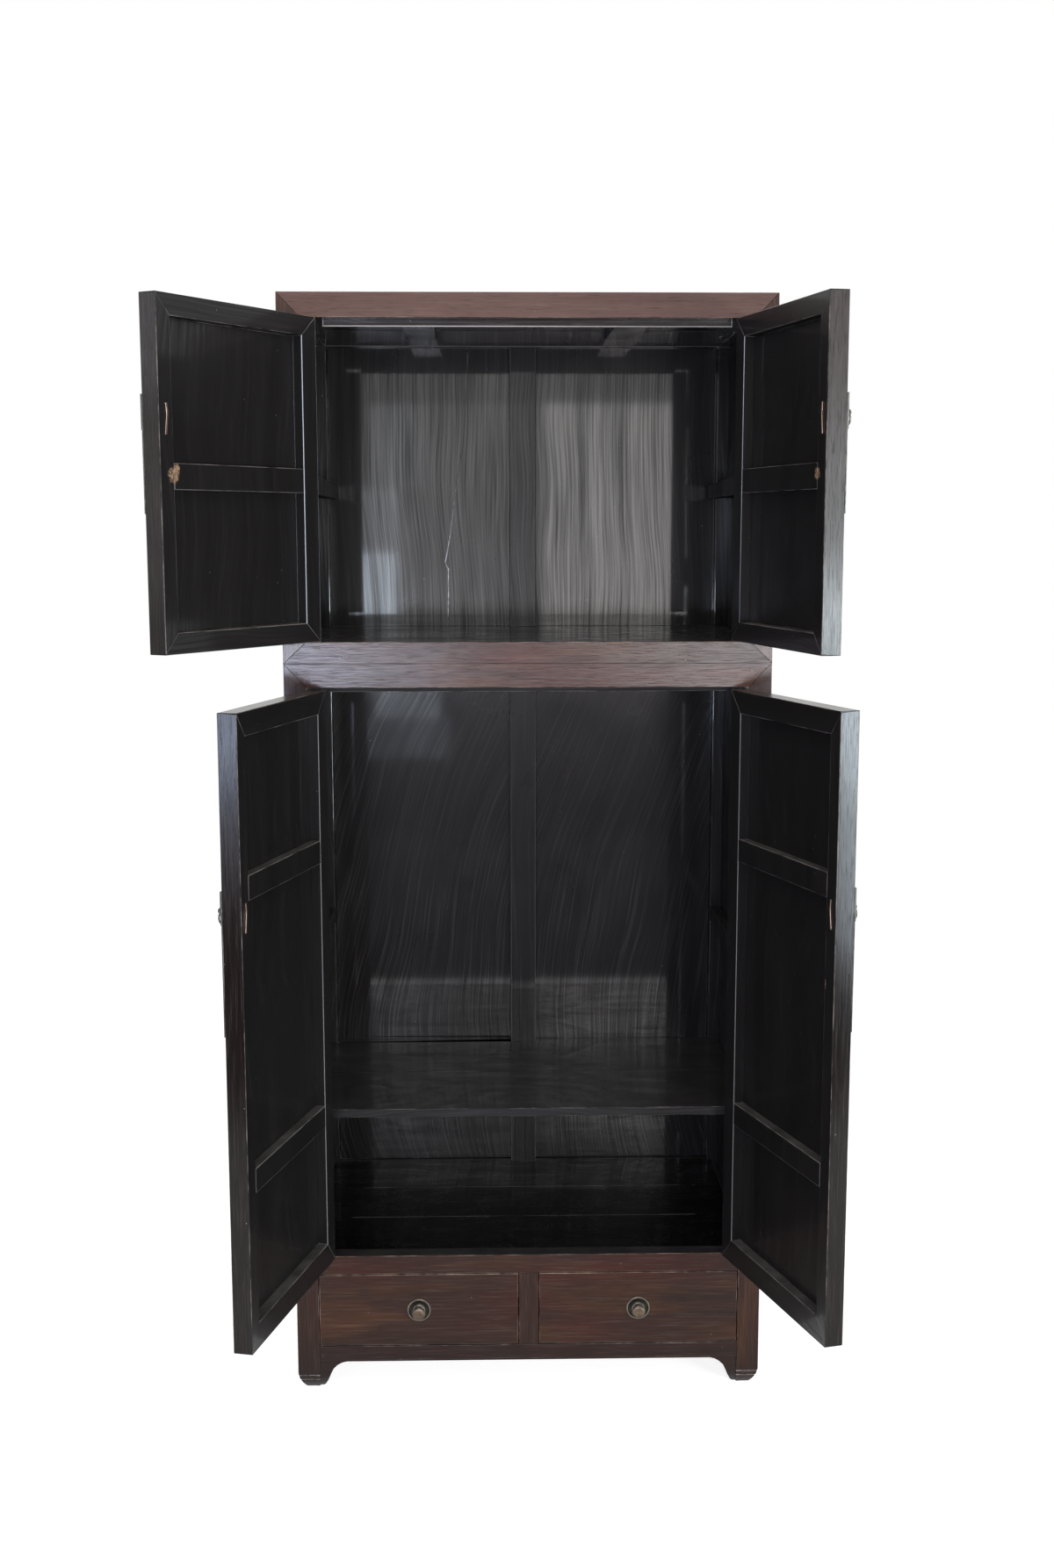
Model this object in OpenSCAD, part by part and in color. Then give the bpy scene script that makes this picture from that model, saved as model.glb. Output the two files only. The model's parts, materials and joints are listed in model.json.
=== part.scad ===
// Two-stage wooden cabinet: a chest with a pair of doors stands on a taller cabinet with a pair
// of doors and two drawers. Millimetres. X runs to the right, Y to the back and Z up, and the
// origin lies on the floor midway between the feet. The doors are drawn standing open.

/* [Overall size] */
// Width over the posts
cabinet_width = 950; // [860:10:1060]
// Depth over the posts
cabinet_depth = 570; // [500:10:640]
// Height of the chest
chest_height = 700; // [620:10:800]
// Height of the opening behind the lower doors
lower_opening_height = 1163; // [1000:1:1300]
// Height of the drawer opening
drawer_opening_height = 155.5; // [130:0.5:190]
// Height of the lowest rails above the floor
leg_height = 64.5; // [60:0.5:110]

/* [Frame] */
// Width and depth of the posts
post_size = 45; // [42:1:52]
// Height of the rails around each top
head_rail_height = 47; // [42:1:60]
// Height of the rails around the chest's floor
chest_floor_rail_height = 42; // [38:1:55]
// Height of the rails over the drawers
drawer_rail_height = 39.5; // [34:0.5:50]
// Height of the rails under the drawers
bottom_rail_height = 30.5; // [28:0.5:45]
// Width of the post between the two back panels
back_post_width = 56; // [40:1:80]
// Width of the divider between the drawers
drawer_divider_width = 40; // [30:1:60]

/* [Feet] */
// How far the front feet are rounded in at the floor
foot_tuck = 17.5; // [10:0.5:20]
// Height at which that rounding starts
foot_rise = 42; // [30:1:50]
// Depth of the grooves carved in the front feet
foot_groove = 1.2; // [0.6:0.1:2]
// Height of the apron in the middle of the front
apron_height = 4.5; // [3:0.5:12]
// Reach of the apron's brackets along the rail
bracket_reach = 55; // [40:1:90]
// Distance from the cabinet's front to the apron
apron_setback = 3; // [2:0.5:8]
// Thickness of the apron
apron_thickness = 14; // [10:0.5:18]

/* [Joints] */
// Thickness of the tenons
tenon_thickness = 12; // [8:0.5:14]
// Distance from the frame's outer face to a tenon
tenon_setback = 14; // [10:0.5:15]
// Clearance around a tenon, tongue or dovetail
joint_fit = 0.15; // [0.1:0.05:0.3]
// Hairline between two pieces that are glued shoulder to shoulder
seam_gap = 0.2; // [0.1:0.05:0.4]

/* [Panels and boards] */
// Thickness of the side and back panels
panel_thickness = 10; // [8:0.5:14]
// Distance from the frame's outer face to the panels
panel_setback = 11; // [6:0.5:14]
// Thickness of a panel's tongue
tongue_thickness = 6; // [4:0.5:7]
// Depth of the grooves that the panels float in
tongue_depth = 7; // [5:0.5:9]
// Play of a panel or board in its frame
panel_play = 0.4; // [0.2:0.1:0.8]
// Thickness of the floors and tops
floor_thickness = 14; // [10:0.5:18]
// Width of the rebates that the floors and tops lie in
rebate_width = 12; // [8:0.5:16]
// Thickness of the dust boards under the drawers
dust_board_thickness = 8; // [6:0.5:10]
// Gap between neighbouring boards
board_gap = 0.4; // [0.2:0.1:1]
// Thickness of the shelf
shelf_thickness = 17.5; // [14:0.5:24]
// Height of the shelf's top over the cabinet's floor
shelf_rise = 291; // [150:1:450]
// Distance from the cabinet's front to the shelf's front edge
shelf_setback = 60; // [50:1:120]

/* [Battens] */
// Height of the battens that carry the shelf
shelf_batten_height = 34; // [26:1:45]
// Height of the upper battens' tops over the cabinet's floor
upper_batten_rise = 610; // [540:1:700]
// Height of the chest's side battens at the front
chest_batten_front = 41; // [34:1:50]
// Height of the chest's side battens at the rear
chest_batten_rear = 27; // [26:1:34]
// Height of the chest's side battens over the chest's floor
chest_batten_rise = 283; // [200:1:360]
// How far the chest's side battens stand inside the posts
chest_batten_reach = 19; // [10:1:30]
// Width of a roof batten at its wide end
roof_batten_wide = 76; // [66:1:90]
// Width of a roof batten at its narrow end
roof_batten_narrow = 59; // [52:1:64]
// Height of a roof batten under the roof boards
roof_batten_drop = 18; // [12:1:30]
// Distance from the middle of the roof to a batten's middle
roof_batten_offset = 219; // [150:1:260]

/* [Doors] */
// Thickness of the doors
door_thickness = 35.5; // [32:0.5:40]
// Gap over and under each door
door_gap = 3; // [2:0.5:5]
// Gap between a door and its post
hinge_side_gap = 1; // [0.6:0.1:2]
// Gap between two closed doors
meeting_gap = 2.2; // [1:0.1:4]
// Bevel on the inside of the meeting edges
meeting_bevel = 2; // [2:0.1:4]
// Width of a door's stile at the hinges
hinge_stile = 42; // [38:0.5:55]
// Width of a door's stile at the meeting edge
meeting_stile = 35; // [34:0.5:50]
// Height of the upper doors' rails
upper_door_rail = 37; // [32:0.5:50]
// Height of the lower doors' bottom rails
lower_door_bottom_rail = 48; // [38:0.5:60]
// Height of the lower doors' top rails
lower_door_top_rail = 43; // [36:0.5:55]
// Depth from a door's inner face to its panel
door_panel_depth = 19.5; // [17:0.5:22]
// Distance from a door's outer face to its panel
door_panel_setback = 2; // [0:0.5:3]
// Height of the battens across the door panels
door_batten_height = 45; // [35:1:60]
// Angle at which the upper left door stands open
upper_left_angle = 122.6; // [0:0.1:170]
// Angle at which the upper right door stands open
upper_right_angle = 102.8; // [0:0.1:170]
// Angle at which the lower left door stands open
lower_left_angle = 105.3; // [0:0.1:170]
// Angle at which the lower right door stands open
lower_right_angle = 108; // [0:0.1:170]
// Height of the strip that the upper doors close against
upper_stop_height = 13; // [8:0.5:20]
// Height of the strip that the lower doors close against
lower_stop_height = 11; // [8:0.5:20]
// Distance from each post to the end of a stop strip
stop_end_gap = 39; // [10:1:80]

/* [Drawers] */
// Gap around the drawer fronts
drawer_gap = 1.5; // [1:0.1:3]
// Thickness of the drawer fronts
drawer_front_thickness = 20; // [16:0.5:26]
// Thickness of the drawers' sides and backs
drawer_side_thickness = 11; // [8:0.5:14]
// Thickness of the drawers' bottoms
drawer_bottom_thickness = 7; // [5:0.5:9]
// Length of the drawers from front to back
drawer_length = 470; // [380:5:475]
// Height of the runners under the drawers
runner_height = 18; // [10:0.5:19]
// Width of the runners at the cabinet's sides
runner_width = 32; // [24:1:50]

/* [Hinges] */
// Distance from a post's inner edge out to the hinge axis
pivot_out = 1; // [0:0.1:2]
// Distance from the cabinet's front to the hinge axis
pivot_forward = 5; // [4.9:0.1:7]
// Height of a hinge
hinge_height = 66; // [50:1:90]
// Width of each hinge plate from the axis
hinge_plate_width = 38; // [28:1:40]
// Thickness of the hinge plates
hinge_plate = 1.6; // [1.2:0.1:2]
// Radius of the hinge barrels
barrel_radius = 4.4; // [4:0.1:4.6]
// Radius of the hinge pins
hinge_pin_radius = 1.8; // [1.5:0.1:2]
// Gap between a door's edge and its nearest hinge
hinge_inset = 70; // [40:1:100]

/* [Lock plates and pulls] */
// Width of each lock plate
lock_plate_width = 34; // [26:0.5:34]
// Thickness of the lock plates
lock_plate = 2; // [1:0.1:3]
// Height of the upper doors' lock plates
upper_lock_height = 200; // [140:1:260]
// Height of the lower doors' lock plates
lower_lock_height = 260; // [180:1:340]
// Height of the boss at the top of each lock plate
lock_boss_height = 60; // [50:1:80]
// How far a boss stands out from its plate
lock_boss = 1.6; // [0.8:0.1:2]
// Height of the upper doors' split pins over the bottom of the door
upper_pin_z = 407; // [400:1:420]
// Height of the lower doors' split pins over the bottom of the door
lower_pin_z = 808; // [800:1:820]
// Distance from a door's meeting edge to its split pin
split_pin_inset = 21; // [19:0.5:22]
// Radius of a split pin's shank
shank_radius = 2.5; // [2:0.1:3]
// Length of a split pin's upper leg
upper_leg = 17; // [12:1:30]
// Length of a split pin's lower leg
lower_leg = 36; // [20:1:45]
// Radius of the hole in a split pin's eye
eye_hole_radius = 2.4; // [2.3:0.1:3]
// Radius of the wire of a split pin's eye
eye_wire_radius = 2; // [1.6:0.1:2.4]
// Radius of a ring pull at the middle of its wire
ring_radius = 10.5; // [9:0.1:16]
// Radius of a ring pull's wire
ring_wire_radius = 1.5; // [1.2:0.1:1.6]
// Radius of a drawer knob's rose
rose_radius = 24; // [20:0.5:28]
// Radius of a drawer knob
knob_radius = 13; // [11:0.5:16]
// How far a drawer knob stands out
knob_reach = 24.5; // [23:0.5:34]

/* [Hidden] */
$fn = 48;
cut = 1;
front_y = -cabinet_depth / 2;
inner_x = cabinet_width / 2 - post_size;
inner_y = cabinet_depth / 2 - post_size;
front_span = 2 * inner_x;
side_span = 2 * inner_y;

drawer_floor_z = leg_height + bottom_rail_height;
drawer_rail_z = drawer_floor_z + drawer_opening_height;
floor_z = drawer_rail_z + drawer_rail_height;
lower_head_z = floor_z + lower_opening_height;
seam_z = lower_head_z + head_rail_height;
chest_floor_z = seam_z + chest_floor_rail_height;
top_z = seam_z + chest_height;
chest_head_z = top_z - head_rail_height;
chest_opening_height = chest_head_z - chest_floor_z;

tenon_length = post_size - tenon_setback - tenon_thickness - cut;
tenon_inset = tongue_depth + 2;
panel_inner = panel_setback + panel_thickness;
dovetail_depth = 4;
dovetail_neck = 8;
dovetail_flare = 2;
back_opening = inner_x - back_post_width / 2;
back_panel_x = (inner_x + back_post_width / 2) / 2;
dust_board_top = drawer_floor_z - runner_height;

foot_spur_x = 35;
foot_groove_width = 1.6;
foot_groove_heights = [19.5, 30];
// The bracket's curve, as shares of its reach and of the height under the apron
bracket_curve = [
    [0, 0.02],
    [0.12, 0.03],
    [0.19, 0.1],
    [0.31, 0.33],
    [0.4, 0.54],
    [0.5, 0.74],
    [0.65, 0.87],
    [0.82, 0.96],
    [1, 1]
];

leaf_x = pivot_out + hinge_side_gap;
leaf_end = inner_x + pivot_out - meeting_gap / 2;
leaf_back = pivot_forward + door_thickness;
door_panel_thickness = door_thickness - door_panel_depth - door_panel_setback;
door_tongue_y = pivot_forward + door_panel_setback + (door_panel_thickness - tongue_thickness) / 2;
door_panel_back = leaf_back - door_panel_depth;
recess_x = leaf_x + hinge_stile;
recess_width = leaf_end - meeting_stile - recess_x;

upper_door_height = chest_opening_height - 2 * door_gap;
lower_door_height = lower_opening_height - 2 * door_gap;
// Battens cross the upper door panels halfway up, and the lower ones at the quarter points
upper_door_battens = [0.5];
lower_door_battens = [0.25, 0.75];
// Each plate's top lies a little over its split pin
upper_lock_z = upper_pin_z + 32 - upper_lock_height;
lower_lock_z = lower_pin_z + 39 - lower_lock_height;
eye_radius = eye_hole_radius + eye_wire_radius;
eye_y = pivot_forward - lock_plate - lock_boss - eye_radius - eye_wire_radius - 0.6;
split_pin_x = leaf_end - split_pin_inset;
leg_lean = 7;

knuckle_gap = 0.4;
knuckle_height = (hinge_height - 2 * knuckle_gap) / 3;
pin_fit = 0.1;
barrel_clearance = 0.8;
hinge_edge = barrel_radius + barrel_clearance;

drawer_opening_width = inner_x - drawer_divider_width / 2;
drawer_x = (inner_x + drawer_divider_width / 2) / 2;
drawer_width = drawer_opening_width - 2 * drawer_gap;
drawer_height = drawer_opening_height - 2 * drawer_gap;
drawer_side_gap = 3;
drawer_side_drop = 10;
drawer_play = 0.2;
drawer_lap = 12;
drawer_box_width = drawer_width - 2 * drawer_side_gap;
drawer_side_height = drawer_opening_height - drawer_gap - drawer_side_drop;
drawer_bottom_z = 8;
drawer_groove = 5;
knob_stem_radius = 3;

lacquer_red = "#6a4a41";
lacquer_black = "#2b2523";
old_brass = "#8d7a52";
dark_iron = "#3c3834";

// Placing. Rails and panels are drawn along X, with the frame's outer face on y = 0.

module left_and_right() {
    children();
    mirror([1, 0, 0])
        children();
}

module front_and_back() {
    children();
    mirror([0, 1, 0])
        children();
}

module at_front(z) {
    translate([0, front_y, z])
        children();
}

module at_back(z) {
    mirror([0, 1, 0])
        at_front(z)
            children();
}

module at_sides(z) {
    left_and_right()
        translate([-cabinet_width / 2, 0, z])
            rotate([0, 0, -90])
                children();
}

module at_corners(z) {
    left_and_right()
        front_and_back()
            translate([-cabinet_width / 2, front_y, z])
                children();
}

// Turns an outline in the XZ plane into a solid from y = 0 back to the given depth.
module elevation(depth) {
    translate([0, depth, 0])
        rotate([90, 0, 0])
            linear_extrude(depth)
                children();
}

// Turns an outline in the YZ plane into a solid from x = 0 to the given width.
module side_elevation(width) {
    rotate([90, 0, 90])
        linear_extrude(width)
            children();
}

// Straight members

module rail_tenons(span, height, grow) {
    length = span + 2 * (tenon_length + grow);
    translate([-length / 2, tenon_setback - grow, tenon_inset - grow])
        cube([length, tenon_thickness + 2 * grow, height - 2 * (tenon_inset - grow)]);
}

module rail(span, height) {
    translate([-span / 2, 0, 0])
        cube([span, post_size, height]);
    rail_tenons(span, height, 0);
}

// An upright between two rails, from z = 0 up, with a tenon at each end
module upright_tenons(width, height, grow) {
    length = height + 2 * (tenon_length + grow);
    translate([-width / 2 + tenon_inset - grow, tenon_setback - grow, height / 2 - length / 2])
        cube([width - 2 * (tenon_inset - grow), tenon_thickness + 2 * grow, length]);
}

module upright(width, height) {
    translate([-width / 2, 0, seam_gap])
        cube([width, post_size, height - 2 * seam_gap]);
    upright_tenons(width, height, 0);
}

// Mitred corners. Where two head rails meet over a post, each of the three members ends in a
// point in the outer corner, and its neighbours lie on the two slopes of that point.

function mitre_trapezium(length, height) = [
    [-length / 2, 0],
    [length / 2, 0],
    [length / 2 - post_size, height],
    [post_size - length / 2, height]
];

// Rail along X with its long edge at the outer top: z = 0 is its top, y = 0 its outer face
module mitred_rail(length, height) {
    intersection() {
        elevation(post_size)
            polygon(mitre_trapezium(length, -height));
        translate([0, 0, -height])
            linear_extrude(height)
                polygon(mitre_trapezium(length, post_size));
    }
}

// The two tenons on top of a post, one into each rail, in the corner x = 0, y = 0, below z = 0
module mitre_tenons(height, grow) {
    width = 10;
    long_side = post_size - 8 - width - grow;
    short_side = 10 - grow;
    for (turned = [0, 1])
        mirror([turned, -turned, 0])
            translate([long_side, short_side, -height])
                cube([width + 2 * grow, tenon_thickness + 2 * grow, height - 12 + grow]);
}

// Post in the corner x = 0, y = 0 with the same outline from the front and from the side
module post(outline, reach) {
    intersection() {
        elevation(reach)
            polygon(outline);
        side_elevation(reach)
            polygon(outline);
    }
}

// How far a front foot's outer face is rounded in, from the given height down to the floor
function foot_curve(from, inward) = [
    for (i = [0 : 8])
        let (share = 1 - from / foot_rise * (1 - i / 8))
            [foot_tuck * share * share + inward, foot_rise * (1 - share)]
];

// Outline of a front post: a foot that is rounded on the outside, and a mitred top
function front_post_outline(top) = concat(
    foot_curve(foot_rise, 0),
    [
        [post_size - 3, 0],
        [post_size, 3],
        [post_size, top - head_rail_height],
        [0, top]
    ]
);

// Two grooves across each outer face of a front foot, and an upright one beside the bracket
module foot_carving() {
    for (z = foot_groove_heights) {
        inward = foot_curve(z, foot_groove)[0][0];
        translate([0, 0, z - foot_groove_width / 2])
            linear_extrude(foot_groove_width)
                difference() {
                    translate([-cut, -cut])
                        square(foot_spur_x + cut);
                    translate([inward, inward])
                        square(foot_spur_x);
                }
    }
    for (turned = [0, 1])
        mirror([turned, -turned, 0])
            translate([foot_spur_x, 0, 0])
                side_elevation(foot_groove_width)
                    polygon(concat(
                        [[-cut, foot_rise]],
                        foot_curve(foot_rise, foot_groove),
                        [[-cut, 0]]
                    ));
}

// Panels float with a tongue in grooves all round. Width and height are the opening's.

module panel_tongue(width, height, reach, thickness) {
    translate([-width / 2 - reach, panel_setback + (panel_thickness - thickness) / 2, -reach])
        cube([width + 2 * reach, thickness, height + 2 * reach]);
}

module panel_groove(width, height) {
    panel_tongue(width, height, tongue_depth, tongue_thickness + 2 * joint_fit);
}

module panel(width, height) {
    translate([-width / 2 + panel_play, panel_setback, panel_play])
        cube([width - 2 * panel_play, panel_thickness, height - 2 * panel_play]);
    panel_tongue(width, height, tongue_depth - panel_play, tongue_thickness);
}

// Battens lie behind a panel along X and hold it with a dovetail that is let into it.

module dovetail(length, z, grow) {
    neck = dovetail_neck + grow;
    flare = neck + dovetail_flare;
    face = panel_inner + joint_fit;
    translate([-length / 2, 0, z])
        side_elevation(length)
            polygon([
                [face + cut, -neck],
                [face, -neck],
                [panel_inner - dovetail_depth - grow, -flare],
                [panel_inner - dovetail_depth - grow, flare],
                [face, neck],
                [face + cut, neck]
            ]);
}

// Batten from z = 0 up whose top slopes from its rear height to its front height
module side_batten(front_height, rear_height, reach) {
    half = side_span / 2 - seam_gap;
    translate([0, panel_inner + joint_fit, 0])
        elevation(post_size + reach - panel_inner - joint_fit)
            polygon([[-half, 0], [half, 0], [half, front_height], [-half, rear_height]]);
    dovetail(2 * half, rear_height / 2, 0);
}

module side_batten_groove(rear_height) {
    dovetail(side_span + 2 * tongue_depth, rear_height / 2, joint_fit);
}

// Boards laid front to back between the rails, from z = 0 down

module post_footprints(grow) {
    left_and_right()
        front_and_back()
            translate([-cabinet_width / 2, front_y])
                square(post_size + grow);
}

// The hollow in the rails that the boards lie in
module board_bed(reach, thickness, notched) {
    translate([0, 0, -thickness])
        linear_extrude(thickness + (notched ? 0 : cut))
            difference() {
                square([2 * (inner_x + reach), 2 * (inner_y + reach)], center = true);
                if (notched)
                    post_footprints(0);
            }
}

module boards(reach, thickness, count, notched) {
    width = 2 * (inner_y + reach) / count;
    length = 2 * (inner_x + reach - panel_play);
    for (i = [0 : count - 1])
        translate([0, 0, -thickness])
            linear_extrude(thickness)
                difference() {
                    translate([-length / 2, -inner_y - reach + i * width + board_gap / 2])
                        square([length, width - board_gap]);
                    if (notched)
                        post_footprints(panel_play);
                }
}

// Joints of the lower cabinet, as the hollows that they leave in its members

module lower_mortises() {
    at_front(leg_height)
        rail_tenons(front_span, bottom_rail_height, joint_fit);
    at_back(leg_height)
        rail_tenons(front_span, bottom_rail_height, joint_fit);
    at_sides(leg_height)
        rail_tenons(side_span, bottom_rail_height, joint_fit);
    at_front(drawer_rail_z)
        rail_tenons(front_span, drawer_rail_height, joint_fit);
    at_back(drawer_rail_z)
        rail_tenons(front_span, drawer_rail_height, joint_fit);
    at_sides(drawer_rail_z)
        rail_tenons(side_span, drawer_rail_height, joint_fit);
}

module lower_side_grooves() {
    at_sides(floor_z)
        panel_groove(side_span, lower_opening_height);
    at_sides(drawer_floor_z)
        panel_groove(side_span, drawer_opening_height);
}

module lower_back_grooves() {
    left_and_right()
        translate([back_panel_x, 0, 0])
            at_back(floor_z)
                panel_groove(back_opening, lower_opening_height);
    at_back(drawer_floor_z)
        panel_groove(front_span, drawer_opening_height);
}

module floor_bed() {
    translate([0, 0, floor_z])
        board_bed(rebate_width, floor_thickness, false);
}

module dust_board_bed() {
    translate([0, 0, dust_board_top])
        board_bed(tongue_depth, dust_board_thickness, true);
}

// Lower cabinet

module lower_front_posts() {
    color(lacquer_red)
        difference() {
            left_and_right()
                translate([-cabinet_width / 2, front_y, 0]) {
                    difference() {
                        post(front_post_outline(seam_z), post_size);
                        foot_carving();
                    }
                    translate([0, 0, seam_z])
                        mitre_tenons(head_rail_height, 0);
                }
            lower_mortises();
            lower_side_grooves();
        }
}

module lower_rear_posts() {
    color(lacquer_red)
        difference() {
            left_and_right()
                mirror([0, 1, 0])
                    translate([-cabinet_width / 2, front_y, 0]) {
                        post([
                            [2, 0],
                            [post_size - 2, 0],
                            [post_size, 2],
                            [post_size, seam_z - head_rail_height],
                            [0, seam_z],
                            [0, 2]
                        ], post_size);
                        translate([0, 0, seam_z])
                            mitre_tenons(head_rail_height, 0);
                    }
            lower_mortises();
            lower_side_grooves();
            lower_back_grooves();
        }
}

module lower_top_hollows() {
    translate([0, 0, seam_z])
        board_bed(rebate_width, floor_thickness, false);
    at_corners(seam_z)
        mitre_tenons(head_rail_height, joint_fit);
}

module lower_head_rail() {
    color(lacquer_red)
        difference() {
            at_front(seam_z)
                mitred_rail(cabinet_width, head_rail_height);
            lower_top_hollows();
        }
}

module lower_side_rails() {
    color(lacquer_red)
        difference() {
            union() {
                at_sides(seam_z)
                    mitred_rail(cabinet_depth, head_rail_height);
                at_sides(drawer_rail_z)
                    rail(side_span, drawer_rail_height);
                at_sides(leg_height)
                    rail(side_span, bottom_rail_height);
            }
            lower_top_hollows();
            lower_side_grooves();
            floor_bed();
            dust_board_bed();
        }
}

module lower_back_frame() {
    color(lacquer_red)
        difference() {
            union() {
                at_back(seam_z)
                    mitred_rail(cabinet_width, head_rail_height);
                at_back(drawer_rail_z)
                    rail(front_span, drawer_rail_height);
                at_back(leg_height)
                    rail(front_span, bottom_rail_height);
            }
            lower_top_hollows();
            lower_back_grooves();
            at_back(floor_z)
                upright_tenons(back_post_width, lower_opening_height, joint_fit);
            floor_bed();
            dust_board_bed();
        }
    color(lacquer_red)
        difference() {
            at_back(floor_z)
                upright(back_post_width, lower_opening_height);
            lower_back_grooves();
        }
}

module divider_hollows() {
    at_front(drawer_floor_z)
        upright_tenons(drawer_divider_width, drawer_opening_height, joint_fit);
}

module drawer_rail() {
    color(lacquer_red)
        difference() {
            at_front(drawer_rail_z)
                rail(front_span, drawer_rail_height);
            divider_hollows();
            floor_bed();
        }
}

// The apron under the bottom rail widens into a curved bracket beside each foot, and its lower
// ends bend back with the feet
module front_apron() {
    back = apron_setback + apron_thickness;
    top = leg_height - seam_gap;
    bracket = [
        for (share = bracket_curve)
            [inner_x - bracket_reach * share[0], (leg_height - apron_height) * share[1]]
    ];
    rear_curve = foot_curve(foot_rise, back);
    at_front(0)
        intersection() {
            elevation(post_size)
                polygon(concat(
                    [[inner_x, top], [-inner_x, top]],
                    [for (point = bracket) [-point[0], point[1]]],
                    [for (i = [1 : len(bracket)]) bracket[len(bracket) - i]]
                ));
            translate([-inner_x, 0, 0])
                side_elevation(front_span)
                    polygon(concat(
                        foot_curve(foot_rise, apron_setback),
                        [for (i = [1 : len(rear_curve)]) rear_curve[len(rear_curve) - i]],
                        [[back, top], [apron_setback, top]]
                    ));
        }
}

module bottom_rail() {
    color(lacquer_red) {
        difference() {
            at_front(leg_height)
                rail(front_span, bottom_rail_height);
            divider_hollows();
            dust_board_bed();
        }
        front_apron();
    }
}

module drawer_divider() {
    color(lacquer_red)
        at_front(drawer_floor_z)
            upright(drawer_divider_width, drawer_opening_height);
}

module lower_side_panels() {
    shelf_batten_z = floor_z + shelf_rise - shelf_thickness - shelf_batten_height;
    upper_batten_z = floor_z + upper_batten_rise - shelf_batten_height;
    color(lacquer_black)
        difference() {
            at_sides(floor_z)
                panel(side_span, lower_opening_height);
            for (z = [shelf_batten_z, upper_batten_z])
                at_sides(z)
                    side_batten_groove(shelf_batten_height);
        }
    color(lacquer_black)
        at_sides(drawer_floor_z)
            panel(side_span, drawer_opening_height);
    color(lacquer_black)
        for (z = [shelf_batten_z, upper_batten_z])
            at_sides(z)
                side_batten(shelf_batten_height, shelf_batten_height, 0);
}

module lower_back_panels() {
    color(lacquer_black) {
        left_and_right()
            translate([back_panel_x, 0, 0])
                at_back(floor_z)
                    panel(back_opening, lower_opening_height);
        at_back(drawer_floor_z)
            panel(front_span, drawer_opening_height);
    }
}

module lower_top_boards() {
    color(lacquer_black)
        translate([0, 0, seam_z])
            boards(rebate_width, floor_thickness, 3, false);
}

module cabinet_floor_boards() {
    color(lacquer_black)
        translate([0, 0, floor_z])
            boards(rebate_width, floor_thickness, 3, true);
}

// The shelf lies on the lower pair of side battens and is cut round the rear posts
module shelf() {
    side = cabinet_width / 2 - panel_inner - panel_play;
    front = front_y + shelf_setback;
    back = cabinet_depth / 2 - panel_inner - panel_play;
    middle = (front + back) / 2;
    color(lacquer_black)
        translate([0, 0, floor_z + shelf_rise - shelf_thickness])
            linear_extrude(shelf_thickness)
                difference() {
                    for (y = [front, middle + board_gap / 2])
                        translate([-side, y])
                            square([2 * side, (back - front - board_gap) / 2]);
                    post_footprints(panel_play);
                    translate([-back_post_width / 2 - panel_play, inner_y - panel_play])
                        square([back_post_width + 2 * panel_play, post_size]);
                }
}

// Runners lie on the dust boards between the bottom rails, with guides between the drawers
module drawer_runners() {
    middle_width = drawer_divider_width + 2 * runner_width;
    length = side_span - 2 * seam_gap;
    guide_height = 24;
    color(lacquer_black)
        translate([0, -length / 2, dust_board_top]) {
            left_and_right()
                translate([-inner_x + seam_gap, 0, 0])
                    cube([runner_width, length, runner_height]);
            translate([-middle_width / 2, 0, 0])
                cube([middle_width, length, runner_height]);
            translate([-drawer_divider_width / 2, 0, runner_height])
                cube([drawer_divider_width, length, guide_height]);
        }
}

module dust_boards() {
    color(lacquer_black)
        translate([0, 0, dust_board_top])
            boards(tongue_depth, dust_board_thickness, 3, true);
}

module stop_strip(height) {
    half = inner_x - stop_end_gap;
    depth = post_size - door_thickness - 0.5;
    translate([-half, front_y + post_size - depth, -height])
        cube([2 * half, depth, height]);
}

module lower_stop_strip() {
    color(lacquer_black)
        translate([0, 0, lower_head_z])
            stop_strip(lower_stop_height);
}

// Chest

module chest_side_grooves() {
    at_sides(chest_floor_z)
        panel_groove(side_span, chest_opening_height);
}

module chest_back_grooves() {
    left_and_right()
        translate([back_panel_x, 0, 0])
            at_back(chest_floor_z)
                panel_groove(back_opening, chest_opening_height);
}

module chest_corner(grow) {
    translate([0, 0, top_z])
        mitre_tenons(head_rail_height, grow);
    translate([0, 0, seam_z])
        mirror([0, 0, 1])
            mitre_tenons(chest_floor_rail_height, grow);
}

module chest_posts() {
    left_and_right()
        translate([-cabinet_width / 2, front_y, 0]) {
            post([
                [0, seam_z],
                [post_size, chest_floor_z],
                [post_size, chest_head_z],
                [0, top_z]
            ], post_size);
            chest_corner(0);
        }
}

module chest_front_posts() {
    color(lacquer_red)
        difference() {
            chest_posts();
            chest_side_grooves();
        }
}

module chest_rear_posts() {
    color(lacquer_red)
        difference() {
            mirror([0, 1, 0])
                chest_posts();
            chest_side_grooves();
            chest_back_grooves();
        }
}

module chest_frame_hollows() {
    at_corners(0)
        chest_corner(joint_fit);
    translate([0, 0, top_z])
        board_bed(rebate_width, floor_thickness, false);
    translate([0, 0, chest_floor_z])
        board_bed(rebate_width, floor_thickness, false);
    chest_side_grooves();
    chest_back_grooves();
}

// A rail around the chest's floor: its long edge is at the bottom
module chest_floor_member(length) {
    mirror([0, 0, 1])
        mitred_rail(length, chest_floor_rail_height);
}

module chest_head_rail() {
    color(lacquer_red)
        difference() {
            at_front(top_z)
                mitred_rail(cabinet_width, head_rail_height);
            chest_frame_hollows();
        }
}

module chest_floor_rail() {
    color(lacquer_red)
        difference() {
            at_front(seam_z)
                chest_floor_member(cabinet_width);
            chest_frame_hollows();
        }
}

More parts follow.
